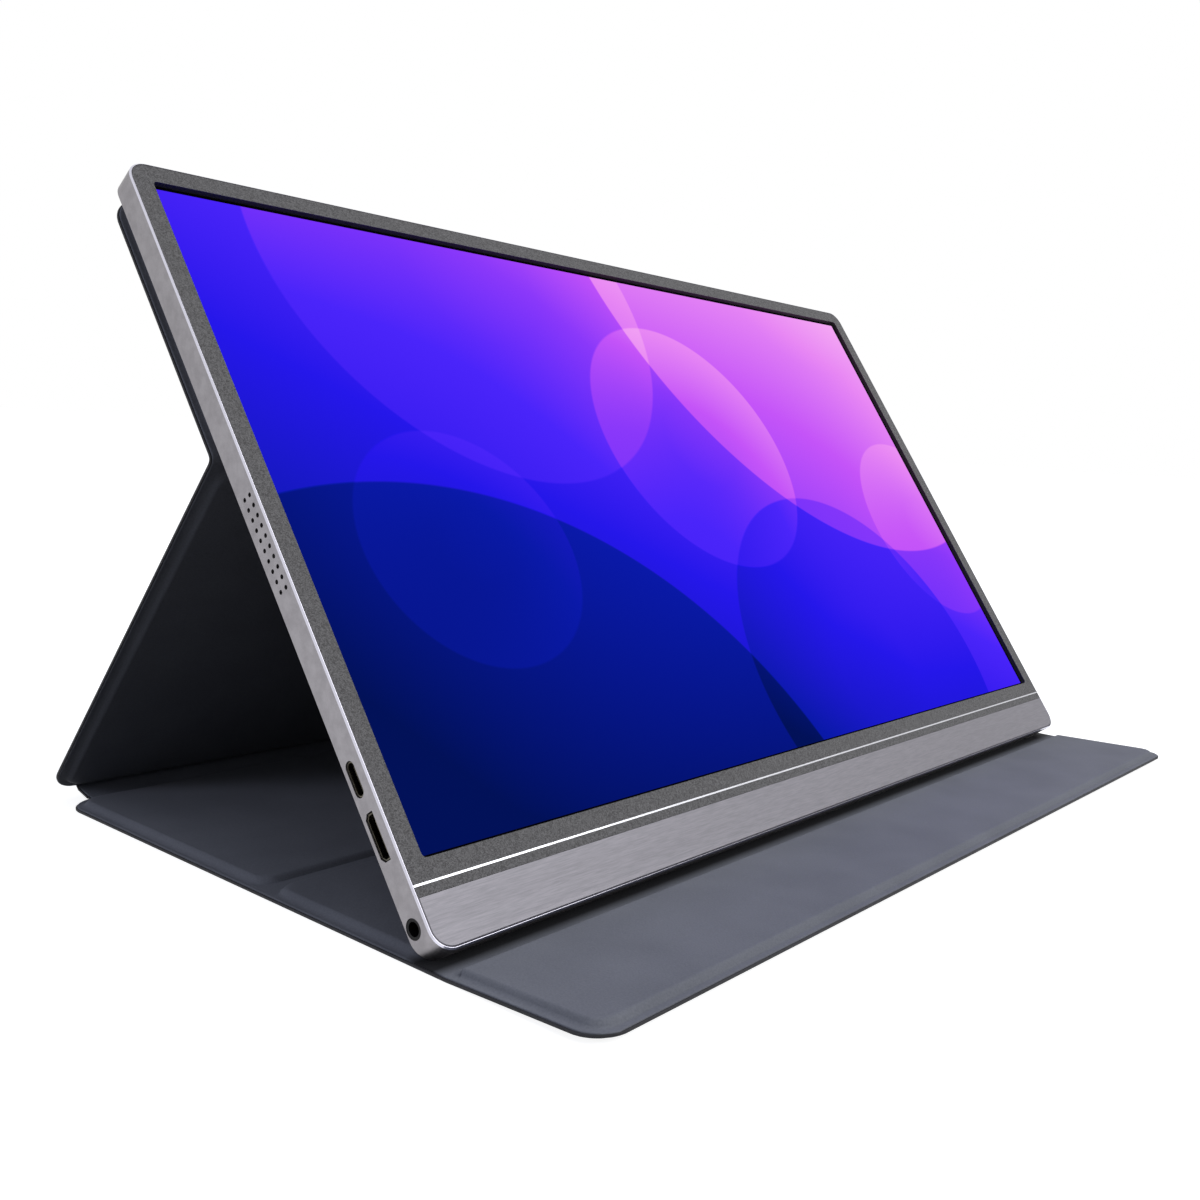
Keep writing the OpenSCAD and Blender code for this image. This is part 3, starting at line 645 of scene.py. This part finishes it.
# %% [markdown]
# ## Synthetic leather of the skin
#
# The outer skin is polyurethane on a cloth, embossed with a hot roller. That leaves a grain just
# under a millimetre wide. It could be sculpted, but at this size a bump is enough: the cells of a
# Voronoi pattern, with a soft ridge between them, are as wide as the grain.

# %% Leather of the skin
GRAIN_CELL = 0.9
RIDGE_HEIGHT = 0.08
RIDGE = 0.6               # the cell pattern's value on a ridge
DYE_CLOUD = 14            # the dye isn't quite even over this distance


def polyurethane_leather():
    # Embossed: many small soft glints close up, and a nearly black matt skin from afar
    material, tree, shader = new_finish("embossed_polyurethane_leather")
    place = add(tree, "ShaderNodeTexCoord")
    cells = add(tree, "ShaderNodeTexVoronoi",
                {"Vector": place.outputs["Object"], "Scale": 1 / (GRAIN_CELL * MM)},
                feature="SMOOTH_F1")
    plug(shader, {
        "IOR": 1.5,
        "Specular IOR Level": 0.3,
        "Base Color": mottled(tree, grain(tree, DYE_CLOUD), "#1b1b1f", "#242429"),
        "Roughness": add(tree, "ShaderNodeMapRange",
                         {"Value": cells, "From Max": RIDGE, "To Min": 0.5, "To Max": 0.66}),
        "Normal": add(tree, "ShaderNodeBump",
                      {"Height": cells, "Distance": RIDGE_HEIGHT * MM, "Strength": 0.5}),
    })
    return material


leather = polyurethane_leather()
for piece in cover_pieces["skin"]:
    piece.data.materials.append(leather)
print("in leather:", len(cover_pieces["skin"]))

# %% [markdown]
# ## Brushed lining
#
# The lining is a grey polyurethane cloth that is brushed to a short nap, so that it can't scratch
# the screen. Hair particles would be far too fine. A fine noise for the nap, a wide one for the
# dye and a trace of sheen do it. The strip of the floor that the monitor stands on is drawn
# dark: painted shade, where the monitor's shadow falls. The strip of the floor that the monitor
# stands on is drawn dark, as if the monitor had rubbed it. That is a guess. So the floor has a
# lining of its own.

# %% Lining
NAP = 0.5                 # the nap is much finer: it is drawn as coarse as it needs to show
NAP_DEPTH = 0.06
CLOTH_CLOUD = 26
FOOT_MIDDLE = 5.8         # the strip of painted shade, by its y
FOOT_HALF = 3.0
PAINTED_SHADE_FADES = 4.0
PAINTED_SHADE_KEPT = 0.1


def shade_under_foot(tree):
    """Painted shade: the share of its colour that the lining keeps, little under the monitor, where its
    shadow falls, and all beside it.
    """
    place = add(tree, "ShaderNodeTexCoord")
    parts = add(tree, "ShaderNodeSeparateXYZ", {"Vector": place.outputs["Object"]})
    from_foot = add(tree, "ShaderNodeMath", {0: parts.outputs["Y"], 1: FOOT_MIDDLE * MM},
                    operation="SUBTRACT")
    away = add(tree, "ShaderNodeMath", {0: from_foot}, operation="ABSOLUTE")
    return add(tree, "ShaderNodeMapRange",
               {"Value": away, "From Min": FOOT_HALF * MM, "From Max": (FOOT_HALF + PAINTED_SHADE_FADES) * MM,
                "To Min": PAINTED_SHADE_KEPT})


def lining_cloth(name, painted_shade=False):
    # Brushed: hardly any gloss, a soft speckle, and a faint sheen where it curves away
    material, tree, shader = new_finish(name)
    nap = grain(tree, NAP, 2)
    speckle = add(tree, "ShaderNodeMapRange",
                  {"Value": nap, "From Min": 0.3, "From Max": 0.7, "To Min": 0.9, "To Max": 1.08})
    dyed = mottled(tree, grain(tree, CLOTH_CLOUD, 2), "#66686f", "#6c6e75")
    colour = add(tree, "ShaderNodeVectorMath", {0: dyed, "Scale": speckle}, operation="SCALE")
    # Painted shade: the floor's lining is darkened where the monitor stands and its shadow falls
    if painted_shade:
        colour = add(tree, "ShaderNodeVectorMath", {0: colour, "Scale": shade_under_foot(tree)},
                     operation="SCALE")
    plug(shader, {
        "IOR": 1.45,
        "Specular IOR Level": 0.08,
        "Sheen Weight": 0.02,
        "Sheen Roughness": 0.45,
        "Base Color": colour,
        "Roughness": add(tree, "ShaderNodeMapRange",
                         {"Value": nap, **NOISE_RANGE, "To Min": 0.58, "To Max": 0.72}),
        "Normal": add(tree, "ShaderNodeBump",
                      {"Height": nap, "Distance": NAP_DEPTH * MM, "Strength": 0.7}),
    })
    return material


cloth = lining_cloth("brushed_polyurethane_lining")
painted_shade_cloth = lining_cloth("painted_shade_polyurethane_lining", painted_shade=True)
for piece in cover_pieces["lining"]:
    piece.data.materials.append(painted_shade_cloth if piece.name == "floor_padded_lining" else cloth)
print("in lining cloth:", len(cover_pieces["lining"]))

# %% [markdown]
# ## Anodised aluminium of the shell
#
# The shell is sand-blasted and then anodised. Its front edge is cut afterwards with a diamond
# tool, so the bevel there is bare and bright. The edge could be a piece of its own, but on the
# real one it is the same metal. So one finish has both, and depth behind the front tells them
# apart.

# %% Blasted aluminium
GRIT = 0.35               # the real pits are finer: they are drawn as coarse as they need to show
GRIT_DEPTH = 0.01
ANODISED_CLOUD = 3
FRONT_BEVEL = 0.4         # depth of the cut edge
BEVEL_SPARE = 0.02        # keeps the whole cut edge on the bare side
FACING = 0.95             # cosine of the angle up to which a face looks straight out
CUT_ROUGHNESS = 0.2
shell_points = [v.co.copy() for v in frame["nodes"]["rear_shell"].data.vertices]
front_edge = max(point.dot(front_normal) for point in shell_points)


def faces_front(tree):
    """1 where a surface looks straight out of the front, else 0."""
    place = add(tree, "ShaderNodeTexCoord")
    facing = add(tree, "ShaderNodeVectorMath", {0: place.outputs["Normal"], 1: front_normal},
                 operation="DOT_PRODUCT")
    return add(tree, "ShaderNodeMath", {0: facing, 1: FACING}, operation="GREATER_THAN")


def behind_front(tree, depth_mm):
    """1 where a point lies further behind the front plane than depth_mm, else 0."""
    place = add(tree, "ShaderNodeTexCoord")
    along = add(tree, "ShaderNodeVectorMath", {0: place.outputs["Object"], 1: front_normal},
                operation="DOT_PRODUCT")
    return add(tree, "ShaderNodeMath", {0: along, 1: front_edge - depth_mm * MM},
               operation="LESS_THAN")


def blasted_aluminium(name, dark, light, cut_edge=False):
    # Blasted: the pits break up every reflection into a wide soft shine. Anodised: an even grey.
    material, tree, shader = new_finish(name)
    blast = grain(tree, GRIT, 2)
    colour = mottled(tree, grain(tree, ANODISED_CLOUD, 4), dark, light)
    rough = add(tree, "ShaderNodeMapRange",
                {"Value": blast, **NOISE_RANGE, "To Min": 0.36, "To Max": 0.46})
    if cut_edge:
        # Cut: bare metal, pale and glossy; the slope of the bevel is painted paler still: a painted
        # highlight
        blasted = behind_front(tree, FRONT_BEVEL + BEVEL_SPARE)
        cut_and_painted_highlight = add(tree, "ShaderNodeMix", {"Factor": faces_front(tree), "A": hex_colour("#d0cfdc"),
                                          "B": hex_colour("#aaa9b4")}, data_type="RGBA")
        colour = add(tree, "ShaderNodeMix", {"Factor": blasted, "A": cut_and_painted_highlight, "B": colour},
                     data_type="RGBA")
        rough = add(tree, "ShaderNodeMix", {"Factor": blasted, "A": CUT_ROUGHNESS, "B": rough})
    plug(shader, {
        "Metallic": 1.0,
        "Base Color": colour,
        "Roughness": rough,
        "Normal": add(tree, "ShaderNodeBump",
                      {"Height": blast, "Distance": GRIT_DEPTH * MM, "Strength": 0.35}),
    })
    return material


print("front plane:", round(front_edge / MM, 2), "mm along its normal")

# %% [markdown]
# ## Brushed and polished aluminium
#
# The chin is brushed along its length with an abrasive belt. The shader can stretch its own
# highlights, but then the lines themselves would be missing. Noise that is pulled long and thin
# shows the lines. The narrow strip over the chin is polished.

# %% Brushed and polished aluminium
BRUSH_LINE = 0.3          # the real lines are finer: they are drawn as coarse as they need to show
BRUSH_DEPTH = 0.006
BRUSH_STRETCH = (0.05, 1, 1)    # a line is twenty times as long as it is wide
BAND = 2.5                # the belt leaves wider bands too
BAND_STRETCH = (0.02, 1, 1)
POLISH_CLOUD = 4


def brushed_aluminium():
    # Brushed: fine lines along the chin, and a highlight that runs across them
    material, tree, shader = new_finish("brushed_aluminium")
    lines = grain(tree, BRUSH_LINE, 3, BRUSH_STRETCH, 0.6)
    plug(shader, {
        "Metallic": 1.0,
        "Base Color": mottled(tree, lines, "#6a696e", "#757379"),
        "Roughness": add(tree, "ShaderNodeMapRange",
                         {"Value": grain(tree, BAND, 3, BAND_STRETCH), **NOISE_RANGE,
                          "To Min": 0.5, "To Max": 0.56}),
        "Normal": add(tree, "ShaderNodeBump",
                      {"Height": lines, "Distance": BRUSH_DEPTH * MM, "Strength": 0.4}),
    })
    return material


def polished_aluminium():
    # Polished: a bright line that mirrors the light about it, a little softened
    material, tree, shader = new_finish("polished_aluminium")
    plug(shader, {
        "Metallic": 1.0,
        "Roughness": 0.25,
        "Base Color": add(tree, "ShaderNodeMix",
                          {"Factor": grain(tree, POLISH_CLOUD), "A": hex_colour("#c2c2c9"),
                           "B": hex_colour("#cecfd5")}, data_type="RGBA"),
    })
    return material


print("a brush line is", BRUSH_LINE / BRUSH_STRETCH[0], "mm long")

# %% [markdown]
# ## Plated steel
#
# Sockets, screws and steel plates are stamped or turned and then plated. Plating flows a little,
# so the surface is smooth with faint clouds. One function serves all, because the plated metals
# differ only in colour and in gloss.

# %% Plated steel
PLATING_CLOUD = 1.2
PLATING_WIPE = 0.6        # smears in the gloss
PLATING_UNEVEN = 0.06


def plated_steel(name, dark, light, rough):
    # Plated: a clean cold shine with faint clouds in it
    material, tree, shader = new_finish(name)
    plug(shader, {
        "Metallic": 1.0,
        "Base Color": mottled(tree, grain(tree, PLATING_CLOUD), dark, light),
        "Roughness": add(tree, "ShaderNodeMapRange",
                         {"Value": grain(tree, PLATING_WIPE), **NOISE_RANGE,
                          "To Min": rough - PLATING_UNEVEN, "To Max": rough + PLATING_UNEVEN}),
    })
    return material


print("plating differs by", PLATING_UNEVEN, "in roughness")

# %% [markdown]
# ## The bezel
#
# The bezel is a moulded frame under a film with a leather grain: short worm-like wrinkles about
# 0.6 mm across, dark grey and matt. A distorted noise draws such wrinkles, where a plain one
# would draw blobs. The walls of the window are the bare black plastic.

# %% Bezel
WRINKLE = 0.62
WRINKLE_DEPTH = 0.12
WRINKLE_RANGE = {"From Min": 0.38, "From Max": 0.62}
SPECK = 0.4
WALL_FROM = 0.25          # depth behind the front where the film ends


def grained_bezel():
    # Grained film: paler ridges and darker furrows are painted light and shade, and no highlight has a
    # hard edge
    material, tree, shader = new_finish("grained_film_on_abs")
    wrinkles = grain(tree, WRINKLE, 1, roughness=0.4, distortion=1.8)
    # The colour follows the wrinkles of the bump: painted shade in the furrows, painted light on the
    # ridges
    film = mottled(tree, wrinkles, "#3d3c3d", "#616061", WRINKLE_RANGE)
    plug(shader, {
        "IOR": 1.5,
        "Specular IOR Level": 0.3,
        "Base Color": add(tree, "ShaderNodeMix",
                          {"Factor": behind_front(tree, WALL_FROM), "A": film,
                           "B": hex_colour("#0a0a0b")}, data_type="RGBA"),
        "Roughness": add(tree, "ShaderNodeMapRange",
                         {"Value": grain(tree, SPECK, 1), **NOISE_RANGE,
                          "To Min": 0.55, "To Max": 0.75}),
        "Normal": add(tree, "ShaderNodeBump",
                      {"Height": wrinkles, "Distance": WRINKLE_DEPTH * MM, "Strength": 0.8}),
    })
    return material


print("wrinkles:", WRINKLE, "mm")

# %% [markdown]
# ## Plastics, films and boards
#
# What is inside is moulded, rolled or pressed: black plastic, foam tape, white film, boards and
# ribbons. Each could have a graph of its own, but most of them only show at a gap or a socket.
# They share one graph and differ in colour, roughness and gloss.

# %% Plastics
RESIN_CLOUD = 1.5
SHEEN_PATCH = 0.5         # patches in the gloss
SHEEN_UNEVEN = 0.08
MOULD_GRAIN = 0.3         # the mould's own grain is finer: drawn as coarse as it needs to show
MOULD_DEPTH = 0.01


def moulded(name, dark, light, rough, gloss=0.5):
    # Moulded: the fine grain of the mould, which breaks up the highlight a little
    material, tree, shader = new_finish(name)
    plug(shader, {
        "IOR": 1.46,
        "Specular IOR Level": gloss,
        "Base Color": mottled(tree, grain(tree, RESIN_CLOUD), dark, light),
        "Roughness": add(tree, "ShaderNodeMapRange",
                         {"Value": grain(tree, SHEEN_PATCH), **NOISE_RANGE,
                          "To Min": rough - SHEEN_UNEVEN, "To Max": rough + SHEEN_UNEVEN}),
        "Normal": add(tree, "ShaderNodeBump",
                      {"Height": grain(tree, MOULD_GRAIN, 2), "Distance": MOULD_DEPTH * MM,
                       "Strength": 0.4}),
    })
    return material


print("plastics differ by", SHEEN_UNEVEN, "in roughness")

# %% [markdown]
# ## The picture on the screen
#
# The panel is lit from behind, so its colours are emission and not paint. An image would have to
# come from a file. A plain gradient from night blue to pink with a few large soft discs can be
# worked out from the place on the screen instead. Outside the picture the glass is black.

# %% Place on the screen
SCREEN_W, SCREEN_H = 343.4, 192.8
PICTURE_BOTTOM = 23.0     # from the bottom of the monitor to the picture
bottom_up = min(point.dot(slope_up) for point in shell_points)
screen_corner = (slope_up * (bottom_up + PICTURE_BOTTOM * MM) + front_normal * front_edge
                 + ACROSS * (-SCREEN_W / 2 * MM))
print("corner of the picture, mm:", [round(part / MM, 1) for part in screen_corner])

# %% Screen
GRADIENT_ACROSS, GRADIENT_UP = 0.26, 0.46       # how much the gradient gains over one picture height
DISC_SOFT = 0.002         # half the width of a disc's edge
DISC_FADE = 0.35          # a disc is this strong in its middle, and full at its edge
DISCS = [
    # across, up and radius, in picture heights, and the shift along the gradient
    (0.18, -0.25, 0.78, -0.16),
    (1.62, 1.10, 0.74, 0.14),
    (0.55, 0.95, 0.42, 0.07),
    (1.22, 0.10, 0.40, -0.09),
    (0.98, 0.62, 0.27, 0.09),
    (1.72, 0.42, 0.23, 0.06),
    (0.30, 0.42, 0.20, 0.05),
]
GRADIENT = [(0.0, "#001058"), (0.18, "#0818a8"), (0.36, "#2416ea"), (0.5, "#4a24fa"),
            (0.63, "#8a38fa"), (0.76, "#c454f8"), (0.88, "#e888f4"), (1.0, "#f8b0f4")]


def disc_shift(tree, spot, centre, radius, shift):
    """The shift that a soft disc gives at a spot, and 0 outside it: returns its two factors."""
    far = add(tree, "ShaderNodeVectorMath", {0: spot, 1: centre}, operation="DISTANCE")
    inside = add(tree, "ShaderNodeMapRange",
                 {"Value": far, "From Min": radius - DISC_SOFT, "From Max": radius + DISC_SOFT,
                  "To Min": 1.0, "To Max": 0.0})
    fade = add(tree, "ShaderNodeMapRange",
               {"Value": far, "From Min": radius * DISC_FADE, "From Max": radius,
                "To Min": shift * DISC_FADE, "To Max": shift})
    return {0: inside, 1: fade}


def lit_screen():
    # Lit glass: deep colour that no lamp washes out, behind a front that mirrors almost nothing
    material, tree, shader = new_finish("lit_display_glass")
    place = add(tree, "ShaderNodeTexCoord")
    moved = add(tree, "ShaderNodeVectorMath", {0: place.outputs["Object"], 1: screen_corner},
                operation="SUBTRACT")
    across, up = [add(tree, "ShaderNodeVectorMath", {0: moved, 1: way / (SCREEN_H * MM)},
                      operation="DOT_PRODUCT") for way in (ACROSS, slope_up)]
    spot = add(tree, "ShaderNodeCombineXYZ", {"X": across, "Y": up})
    shade = add(tree, "ShaderNodeVectorMath", {0: spot, 1: (GRADIENT_ACROSS, GRADIENT_UP, 0)},
                operation="DOT_PRODUCT")
    for x, y, radius, shift in DISCS:
        factors = disc_shift(tree, spot, (x, y, 0), radius, shift)
        shade = add(tree, "ShaderNodeMath", {**factors, 2: shade}, operation="MULTIPLY_ADD")
    ramp = add(tree, "ShaderNodeValToRGB", {"Fac": shade})
    while len(ramp.color_ramp.elements) < len(GRADIENT):
        ramp.color_ramp.elements.new(0.5)
    for element, (position, colour) in zip(ramp.color_ramp.elements, GRADIENT):
        element.position = position
        element.color = hex_colour(colour)
    # Compare gives 1 up to half the width to each side of the middle, and so up and down
    half = SCREEN_W / SCREEN_H / 2
    in_width = add(tree, "ShaderNodeMath", {0: across, 1: half, 2: half}, operation="COMPARE")
    in_height = add(tree, "ShaderNodeMath", {0: up, 1: 0.5, 2: 0.5}, operation="COMPARE")
    lit = add(tree, "ShaderNodeMath", {0: in_width, 1: in_height}, operation="MULTIPLY")
    plug(shader, {
        "IOR": 1.5,
        "Specular IOR Level": 0.0,
        "Roughness": 0.4,
        "Base Color": hex_colour("#020203"),
        "Emission Strength": 1.0,
        "Emission Color": add(tree, "ShaderNodeMix",
                              {"Factor": lit, "A": hex_colour("#020203"), "B": ramp.outputs["Color"]},
                              data_type="RGBA"),
    })
    return material


print("discs:", len(DISCS), "steps of the gradient:", len(GRADIENT))

# %% [markdown]
# ## Finishes of the solids
#
# Each solid that no sheet replaces gets one finish. One material could do for all plated steel,
# but the tin of the sockets is painted dark, as shade inside their openings, and nickel is bright
# on a magnet, so each of them has its own.

# %% Dress the solids
finishes = {
    blasted_aluminium("blasted_anodised_aluminium", "#868386", "#918e91", cut_edge=True): ["rear_shell"],
    brushed_aluminium(): ["chin_trim"],
    polished_aluminium(): ["accent_strip"],
    grained_bezel(): ["front_bezel"],
    lit_screen(): ["lcd_cell"],
    blasted_aluminium("satin_aluminium", "#8f8b8a", "#9b9796"): ["power_button", "menu_wheel"],
    # Tin of the sockets: dark and brownish; the darkness is painted shade inside their openings
    plated_steel("tinned_steel_in_painted_shade", "#4c4a42", "#645f52", 0.3): [
        "usb_c_port_left", "usb_c_port_right", "mini_hdmi_port"],
    plated_steel("tinned_steel", "#6f6e68", "#86847c", 0.3): [
        "backlight_tray", "steel_plates", "board_screws"],
    # Nickel: pale and the brightest of the three
    plated_steel("nickel_plated_magnet", "#b4b5b8", "#c4c5c8", 0.2): ["flap_magnets", "back_magnets"],
    moulded("black_moulded_plastic", "#08080a", "#0e0e10", 0.4, 0.15): [
        "headphone_socket", "speaker_left", "speaker_right", "wheel_carrier"],
    # Foam: open cells that swallow the light
    moulded("black_foam_tape", "#060606", "#0c0c0c", 0.8): ["bezel_tape"],
    moulded("white_diffusing_film", "#e8e8e2", "#f2f2ee", 0.4): [
        "optical_films", "light_guide", "led_bar"],
    # Solder resist: a glossy green varnish
    moulded("green_solder_resist", "#123a22", "#1a4a2c", 0.35): [
        "main_board", "control_board", "panel_driver_board"],
    moulded("amber_polyimide", "#8a4f14", "#9c5c1c", 0.35): ["panel_ribbon", "board_ribbon"],
    # Pressed grey board: dry, with no shine
    moulded("grey_fibre_board", "#77705f", "#8a8270", 0.85): [
        "middle_board", "rear_board", "flap_board", "support_board", "back_board"],
}
for material, names in finishes.items():
    for name in names:
        data = frame["nodes"][name].data
        data.materials.clear()
        data.materials.append(material)
print("finishes:", [material.name for material in finishes])

# %% [markdown]
# ## Small edges
#
# No machined or moulded edge is perfectly sharp. A bevel of about a tenth of a millimetre gives
# each edge the thin bright line that tells the eye its size. As a modifier it leaves the mesh of
# the solid as it is.

# %% Break the edges
METAL_EDGE, MOULDED_EDGE = 0.08, 0.14
EDGE_SEGMENTS = 2
EDGE_FROM = math.radians(35)


def break_edges(names, width_mm):
    for name in names:
        edge = frame["nodes"][name].modifiers.new("broken_edges", "BEVEL")
        edge.width = width_mm * MM
        edge.segments = EDGE_SEGMENTS
        edge.limit_method = "ANGLE"
        edge.angle_limit = EDGE_FROM
        edge.harden_normals = True


break_edges(["chin_trim", "power_button"], METAL_EDGE)
break_edges(["front_bezel"], MOULDED_EDGE)
print("edges:", METAL_EDGE, "and", MOULDED_EDGE, "mm")

# %% [markdown]
# ## Floor and sky
#
# A plain white floor takes the object's shadow. A floor that is only lit comes out grey, so the
# camera and the reflections see it brighter than the light makes it. The sky is brightest
# overhead: it fills the shadows from above, and it is white where it is seen.

# %% Floor and sky
FLOOR_HALF = 12           # in metres
FLOOR_DROP = 0.0001       # in metres, so that the cover's underside doesn't lie in the floor
FLOOR_LIFT = 0.86
SKY_LOW, SKY_HIGH = 0.0, 0.66


def seen_directly(tree):
    """1 for the camera's rays and for reflections, 0 for the rays that only carry light."""
    path = add(tree, "ShaderNodeLightPath")
    return add(tree, "ShaderNodeMath",
               {0: path.outputs["Is Camera Ray"], 1: path.outputs["Is Glossy Ray"]},
               operation="MAXIMUM")


def studio_floor():
    # Matt paint: the shadow is the only thing to see on it
    mesh = bpy.data.meshes.new("floor")
    corners = [(x * FLOOR_HALF, y * FLOOR_HALF, 0) for x, y in ((-1, -1), (1, -1), (1, 1), (-1, 1))]
    mesh.from_pydata(corners, [], [(0, 1, 2, 3)])
    floor = show("floor", mesh)
    floor.location.z = -FLOOR_DROP
    material, tree, shader = new_finish("white_floor")
    seen = seen_directly(tree)
    plug(shader, {
        "Roughness": 0.9,
        "Specular IOR Level": 0.0,
        "Base Color": add(tree, "ShaderNodeMix",
                          {"Factor": seen, "A": hex_colour("#666666"), "B": hex_colour("#b4b4b4")},
                          data_type="RGBA"),
        "Emission Color": hex_colour("#ffffff"),
        "Emission Strength": add(tree, "ShaderNodeMath", {0: seen, 1: FLOOR_LIFT},
                                 operation="MULTIPLY"),
    })
    mesh.materials.append(material)


def studio_sky():
    world = bpy.data.worlds.new("studio")
    bpy.context.scene.world = world
    world.use_nodes = True
    tree = world.node_tree
    tree.nodes.clear()
    path = add(tree, "ShaderNodeLightPath")
    seen = add(tree, "ShaderNodeMath",
               {0: seen_directly(tree), 1: path.outputs["Is Transmission Ray"]},
               operation="MAXIMUM")
    toward = add(tree, "ShaderNodeTexCoord")
    parts = add(tree, "ShaderNodeSeparateXYZ", {"Vector": toward.outputs["Generated"]})
    dome = add(tree, "ShaderNodeMapRange",
               {"Value": parts.outputs["Z"], "To Min": SKY_LOW, "To Max": SKY_HIGH})
    sky = add(tree, "ShaderNodeBackground", {
        "Color": add(tree, "ShaderNodeMix",
                     {"Factor": seen, "A": hex_colour("#eaf0ff"), "B": hex_colour("#ffffff")},
                     data_type="RGBA"),
        "Strength": add(tree, "ShaderNodeMix", {"Factor": seen, "A": dome, "B": 1.0}),
    })
    add(tree, "ShaderNodeOutputWorld", {"Surface": sky})


studio_floor()
studio_sky()
print("floor lift:", FLOOR_LIFT, "sky:", SKY_LOW, "to", SKY_HIGH)

# %% [markdown]
# ## Lamps
#
# Small lamps would give hard shadows and white spots in the metal. One large soft lamp in front
# and to the right lights the whole. A weak cool one at the left, a little behind, picks out the
# shoulders of the pads.

# %% Lamps
KEY_SIDE, FILL_SIDE = (0.45, -1.0, 0.9), (-1.0, 0.25, 0.42)
KEY_DISTANCE, FILL_DISTANCE = 4.0, 3.0          # in metres
KEY_SIZE, FILL_SIZE = 3.6, 0.9
KEY_POWER, FILL_POWER = 150, 19                 # in watts
middle = (cad_box[0] + cad_box[1]) / 2


def soft_lamp(name, side, distance, size, power, colour="#ffffff"):
    """A square lamp on one side of the object, turned to its middle."""
    data = bpy.data.lights.new(name, "AREA")
    data.color = hex_colour(colour)[:3]
    data.shape = "SQUARE"
    data.size = size
    data.energy = power
    lamp = show(name, data)
    lamp.location = middle + Vector(side).normalized() * distance
    lamp.rotation_euler = (middle - lamp.location).to_track_quat("-Z", "Y").to_euler()


soft_lamp("key_lamp", KEY_SIDE, KEY_DISTANCE, KEY_SIZE, KEY_POWER)
soft_lamp("fill_lamp", FILL_SIDE, FILL_DISTANCE, FILL_SIZE, FILL_POWER, "#e6ebff")
bpy.context.scene.view_settings.view_transform = "Standard"
print("lamps:", KEY_POWER, "and", FILL_POWER, "W")

# %% [markdown]
# ## Sizes
#
# The dressed object should be as large as the solids. The box of the solids is written down here.

# %% Size of the solids
print("solids, mm:", [round(part / MM, 2) for part in cad_box[1] - cad_box[0]])
